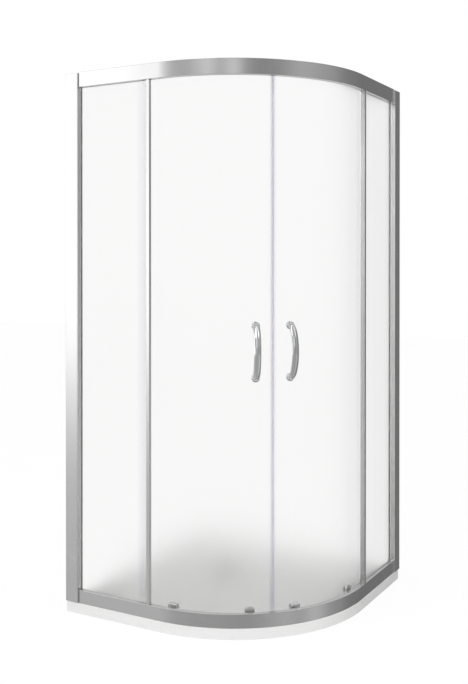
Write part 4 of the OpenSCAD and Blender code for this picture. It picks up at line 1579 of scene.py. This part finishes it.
LOWER_ROOM = LightRing(
    "below the horizon",
    ((-180, 0.5), (-120, 0.55), (-60, 0.56), (-32, 0.62), (-18, 0.46), (15, 0.44), (40, 0.4), (60, 0.5),
     (70, 0.6), (84, 0.46), (97, 0.72), (104, 0.6), (112, 0.4), (122, 0.38), (138, 0.24), (165, 0.20),
     (180, 0.5)))
MIDDLE_ROOM = LightRing(
    "at the horizon",
    ((-180, 0.42), (-120, 0.5), (-80, 0.5), (-60, 1.8), (-36, 1.85), (-22, 1.5), (-12, 0.6), (24, 0.5),
     (38, 0.34), (85, 0.45), (110, 0.4), (135, 0.27), (165, 0.21), (180, 0.42)),
    fade_low=-0.20, fade_high=-0.07)
UPPER_ROOM = LightRing(
    "above the horizon",
    ((-180, 0.42), (-120, 0.5), (-80, 0.5), (-60, 1.8), (-36, 1.85), (-29, 0.8), (-22, 0.5), (-4, 0.52),
     (2, 0.7), (8, 1.1), (17, 0.5), (23, 0.72), (30, 1.1), (38, 0.42), (50, 0.32), (60, 0.34), (85, 0.55),
     (110, 0.46), (135, 0.28), (165, 0.21), (180, 0.42)),
    fade_low=0.03, fade_high=0.15)
OVERHEAD_ROOM = LightRing(
    "overhead",
    ((-180, 0.62), (-16, 0.6), (-8, 2.6), (2, 2.6), (9, 0.5), (77, 0.5), (83, 2.3), (93, 2.3), (101, 0.6),
     (180, 0.62)),
    fade_low=0.32, fade_high=0.52)


@dataclass
class Studio:
    """Camera, light, pale floor and the soft room that the metal reflects."""

    camera_at: tuple[float, float, float] = (1.6606, -3.0183, 1.2207)
    yaw: float = 0.5153
    pitch: float = -0.0058
    focal_px: float = 934.03
    center_px: Flat = (229.43, 269.16)
    sensor: float = 36.0
    lowest_ring: LightRing = LOWER_ROOM
    higher_rings: tuple[LightRing, ...] = (MIDDLE_ROOM, UPPER_ROOM, OVERHEAD_ROOM)
    pane_share: float = 0.4
    no_bounce: float = 0.5
    one_bounce: float = 1.5
    one_pane: float = 3.5
    key_lamp: Lamp = Lamp("key_lamp", (-2.6, -3.6, 3.2), (0.0, 0.0, 0.7), 2.0, 31.0)
    fill_lamp: Lamp = Lamp("fill_lamp", (2.4, -1.9, 0.4), (0.25, -0.25, 0.05), 1.2, 19.0)
    floor_half: float = 12.0
    floor_color: Color = (0.82, 0.82, 0.82, 1.0)
    seen_floor_color: Color = (0.16, 0.16, 0.16, 1.0)
    seen_floor_glow: float = 0.87

    def build(self) -> None:
        """Builds the studio."""
        self._camera()
        self._room()
        self.key_lamp.build()
        self.fill_lamp.build()
        self._floor()

    def _camera(self) -> None:
        """Sets the camera to the photograph's viewing angle."""
        data = bpy.data.cameras.new("photo_camera")
        data.sensor_fit = "VERTICAL"
        data.sensor_height = self.sensor
        data.lens = self.focal_px * self.sensor / IMAGE_H
        data.shift_x = (IMAGE_W / 2 - self.center_px[0]) / IMAGE_H
        data.shift_y = (self.center_px[1] - IMAGE_H / 2) / IMAGE_H
        made = bpy.data.objects.new("photo_camera", data)
        made.location = self.camera_at
        made.rotation_euler = (math.pi / 2 + self.pitch, 0.0, self.yaw)
        bpy.context.scene.collection.objects.link(made)
        bpy.context.scene.camera = made
        bpy.context.scene.view_settings.view_transform = "Standard"

    def _seen(self, graph: Graph) -> bpy.types.NodeSocket:
        """Tells a look from light that only brightens the object.

        Args:
            graph: Graph of the world or of the floor's material.

        Returns:
            1 for a straight look or one straight through glass, pane_share for one through a pane that
            scattered once, and 0 for what metal or a surface sends back.
        """
        path = graph.node("ShaderNodeLightPath")
        bounced = graph.math("ADD", path.outputs["Glossy Depth"], path.outputs["Diffuse Depth"])
        straight = graph.math("LESS_THAN", bounced, self.no_bounce)
        once = graph.math("LESS_THAN", bounced, self.one_bounce)
        pane = graph.math("LESS_THAN", path.outputs["Transmission Depth"], self.one_pane)
        scattered = graph.math("MULTIPLY", graph.math("MULTIPLY", once, pane), self.pane_share)
        clear = graph.math("MAXIMUM", straight, scattered)
        through = graph.math("MULTIPLY", path.outputs["Is Transmission Ray"], clear)
        return graph.math("MAXIMUM", path.outputs["Is Camera Ray"], through)

    def _room(self) -> None:
        """Builds the soft room that lights the object, white where the camera looks at it."""
        world = bpy.data.worlds.new("soft_studio")
        world.use_nodes = True
        bpy.context.scene.world = world
        graph = Graph(world.node_tree)
        backdrop = world.node_tree.nodes["Background"]
        place = graph.node("ShaderNodeTexCoord")
        parts = graph.node("ShaderNodeSeparateXYZ")
        graph.join(place.outputs["Generated"], parts.inputs["Vector"])
        turn = graph.math("ARCTAN2", parts.outputs["X"], graph.math("MULTIPLY", parts.outputs["Y"], -1.0))
        share = graph.math("ADD", graph.math("DIVIDE", turn, math.tau), 0.5)
        room = self.lowest_ring.level(graph, share)
        for ring in self.higher_rings:
            faded = graph.smooth_step(parts.outputs["Z"], ring.fade_low, ring.fade_high)
            room = graph.mix(faded, room, ring.level(graph, share))
        graph.join(graph.mix(self._seen(graph), room, 1.0), backdrop.inputs["Strength"])
        backdrop.inputs["Color"].default_value = WHITE

    def _floor(self) -> None:
        """Builds the pale floor that shows white and keeps a faint shadow."""
        build = bmesh.new()
        corners = rectangle(-self.floor_half, -self.floor_half, self.floor_half, self.floor_half)
        build.faces.new([build.verts.new((x, y, 0.0)) for x, y in corners])
        data = bpy.data.meshes.new("studio_floor")
        build.to_mesh(data)
        build.free()
        made = bpy.data.objects.new("studio_floor", data)
        bpy.context.scene.collection.objects.link(made)
        made.visible_glossy = False
        skin = bpy.data.materials.new("pale_floor")
        skin.use_nodes = True
        skin.node_tree.nodes.remove(skin.node_tree.nodes["Principled BSDF"])
        graph = Graph(skin.node_tree)
        plain = graph.node("ShaderNodeBsdfDiffuse", {"Color": self.floor_color})
        faint = graph.node("ShaderNodeBsdfDiffuse", {"Color": self.seen_floor_color})
        white = graph.node("ShaderNodeEmission", {"Color": WHITE, "Strength": self.seen_floor_glow})
        both = graph.node("ShaderNodeAddShader")
        graph.join(faint.outputs["BSDF"], both.inputs[0])
        graph.join(white.outputs["Emission"], both.inputs[1])
        mix = graph.node("ShaderNodeMixShader")
        graph.join(self._seen(graph), mix.inputs[0])
        graph.join(plain.outputs["BSDF"], mix.inputs[1])
        graph.join(both.outputs["Shader"], mix.inputs[2])
        graph.join(mix.outputs["Shader"], skin.node_tree.nodes["Material Output"].inputs["Surface"])
        data.materials.append(skin)


def main() -> None:
    """Builds the enclosure's sub-assemblies and the studio."""
    Rails().build()
    Tray().build()
    WallSides().build()
    for side in Side:
        Door(side).build()
    Studio().build()


if __name__ == "__main__":
    main()
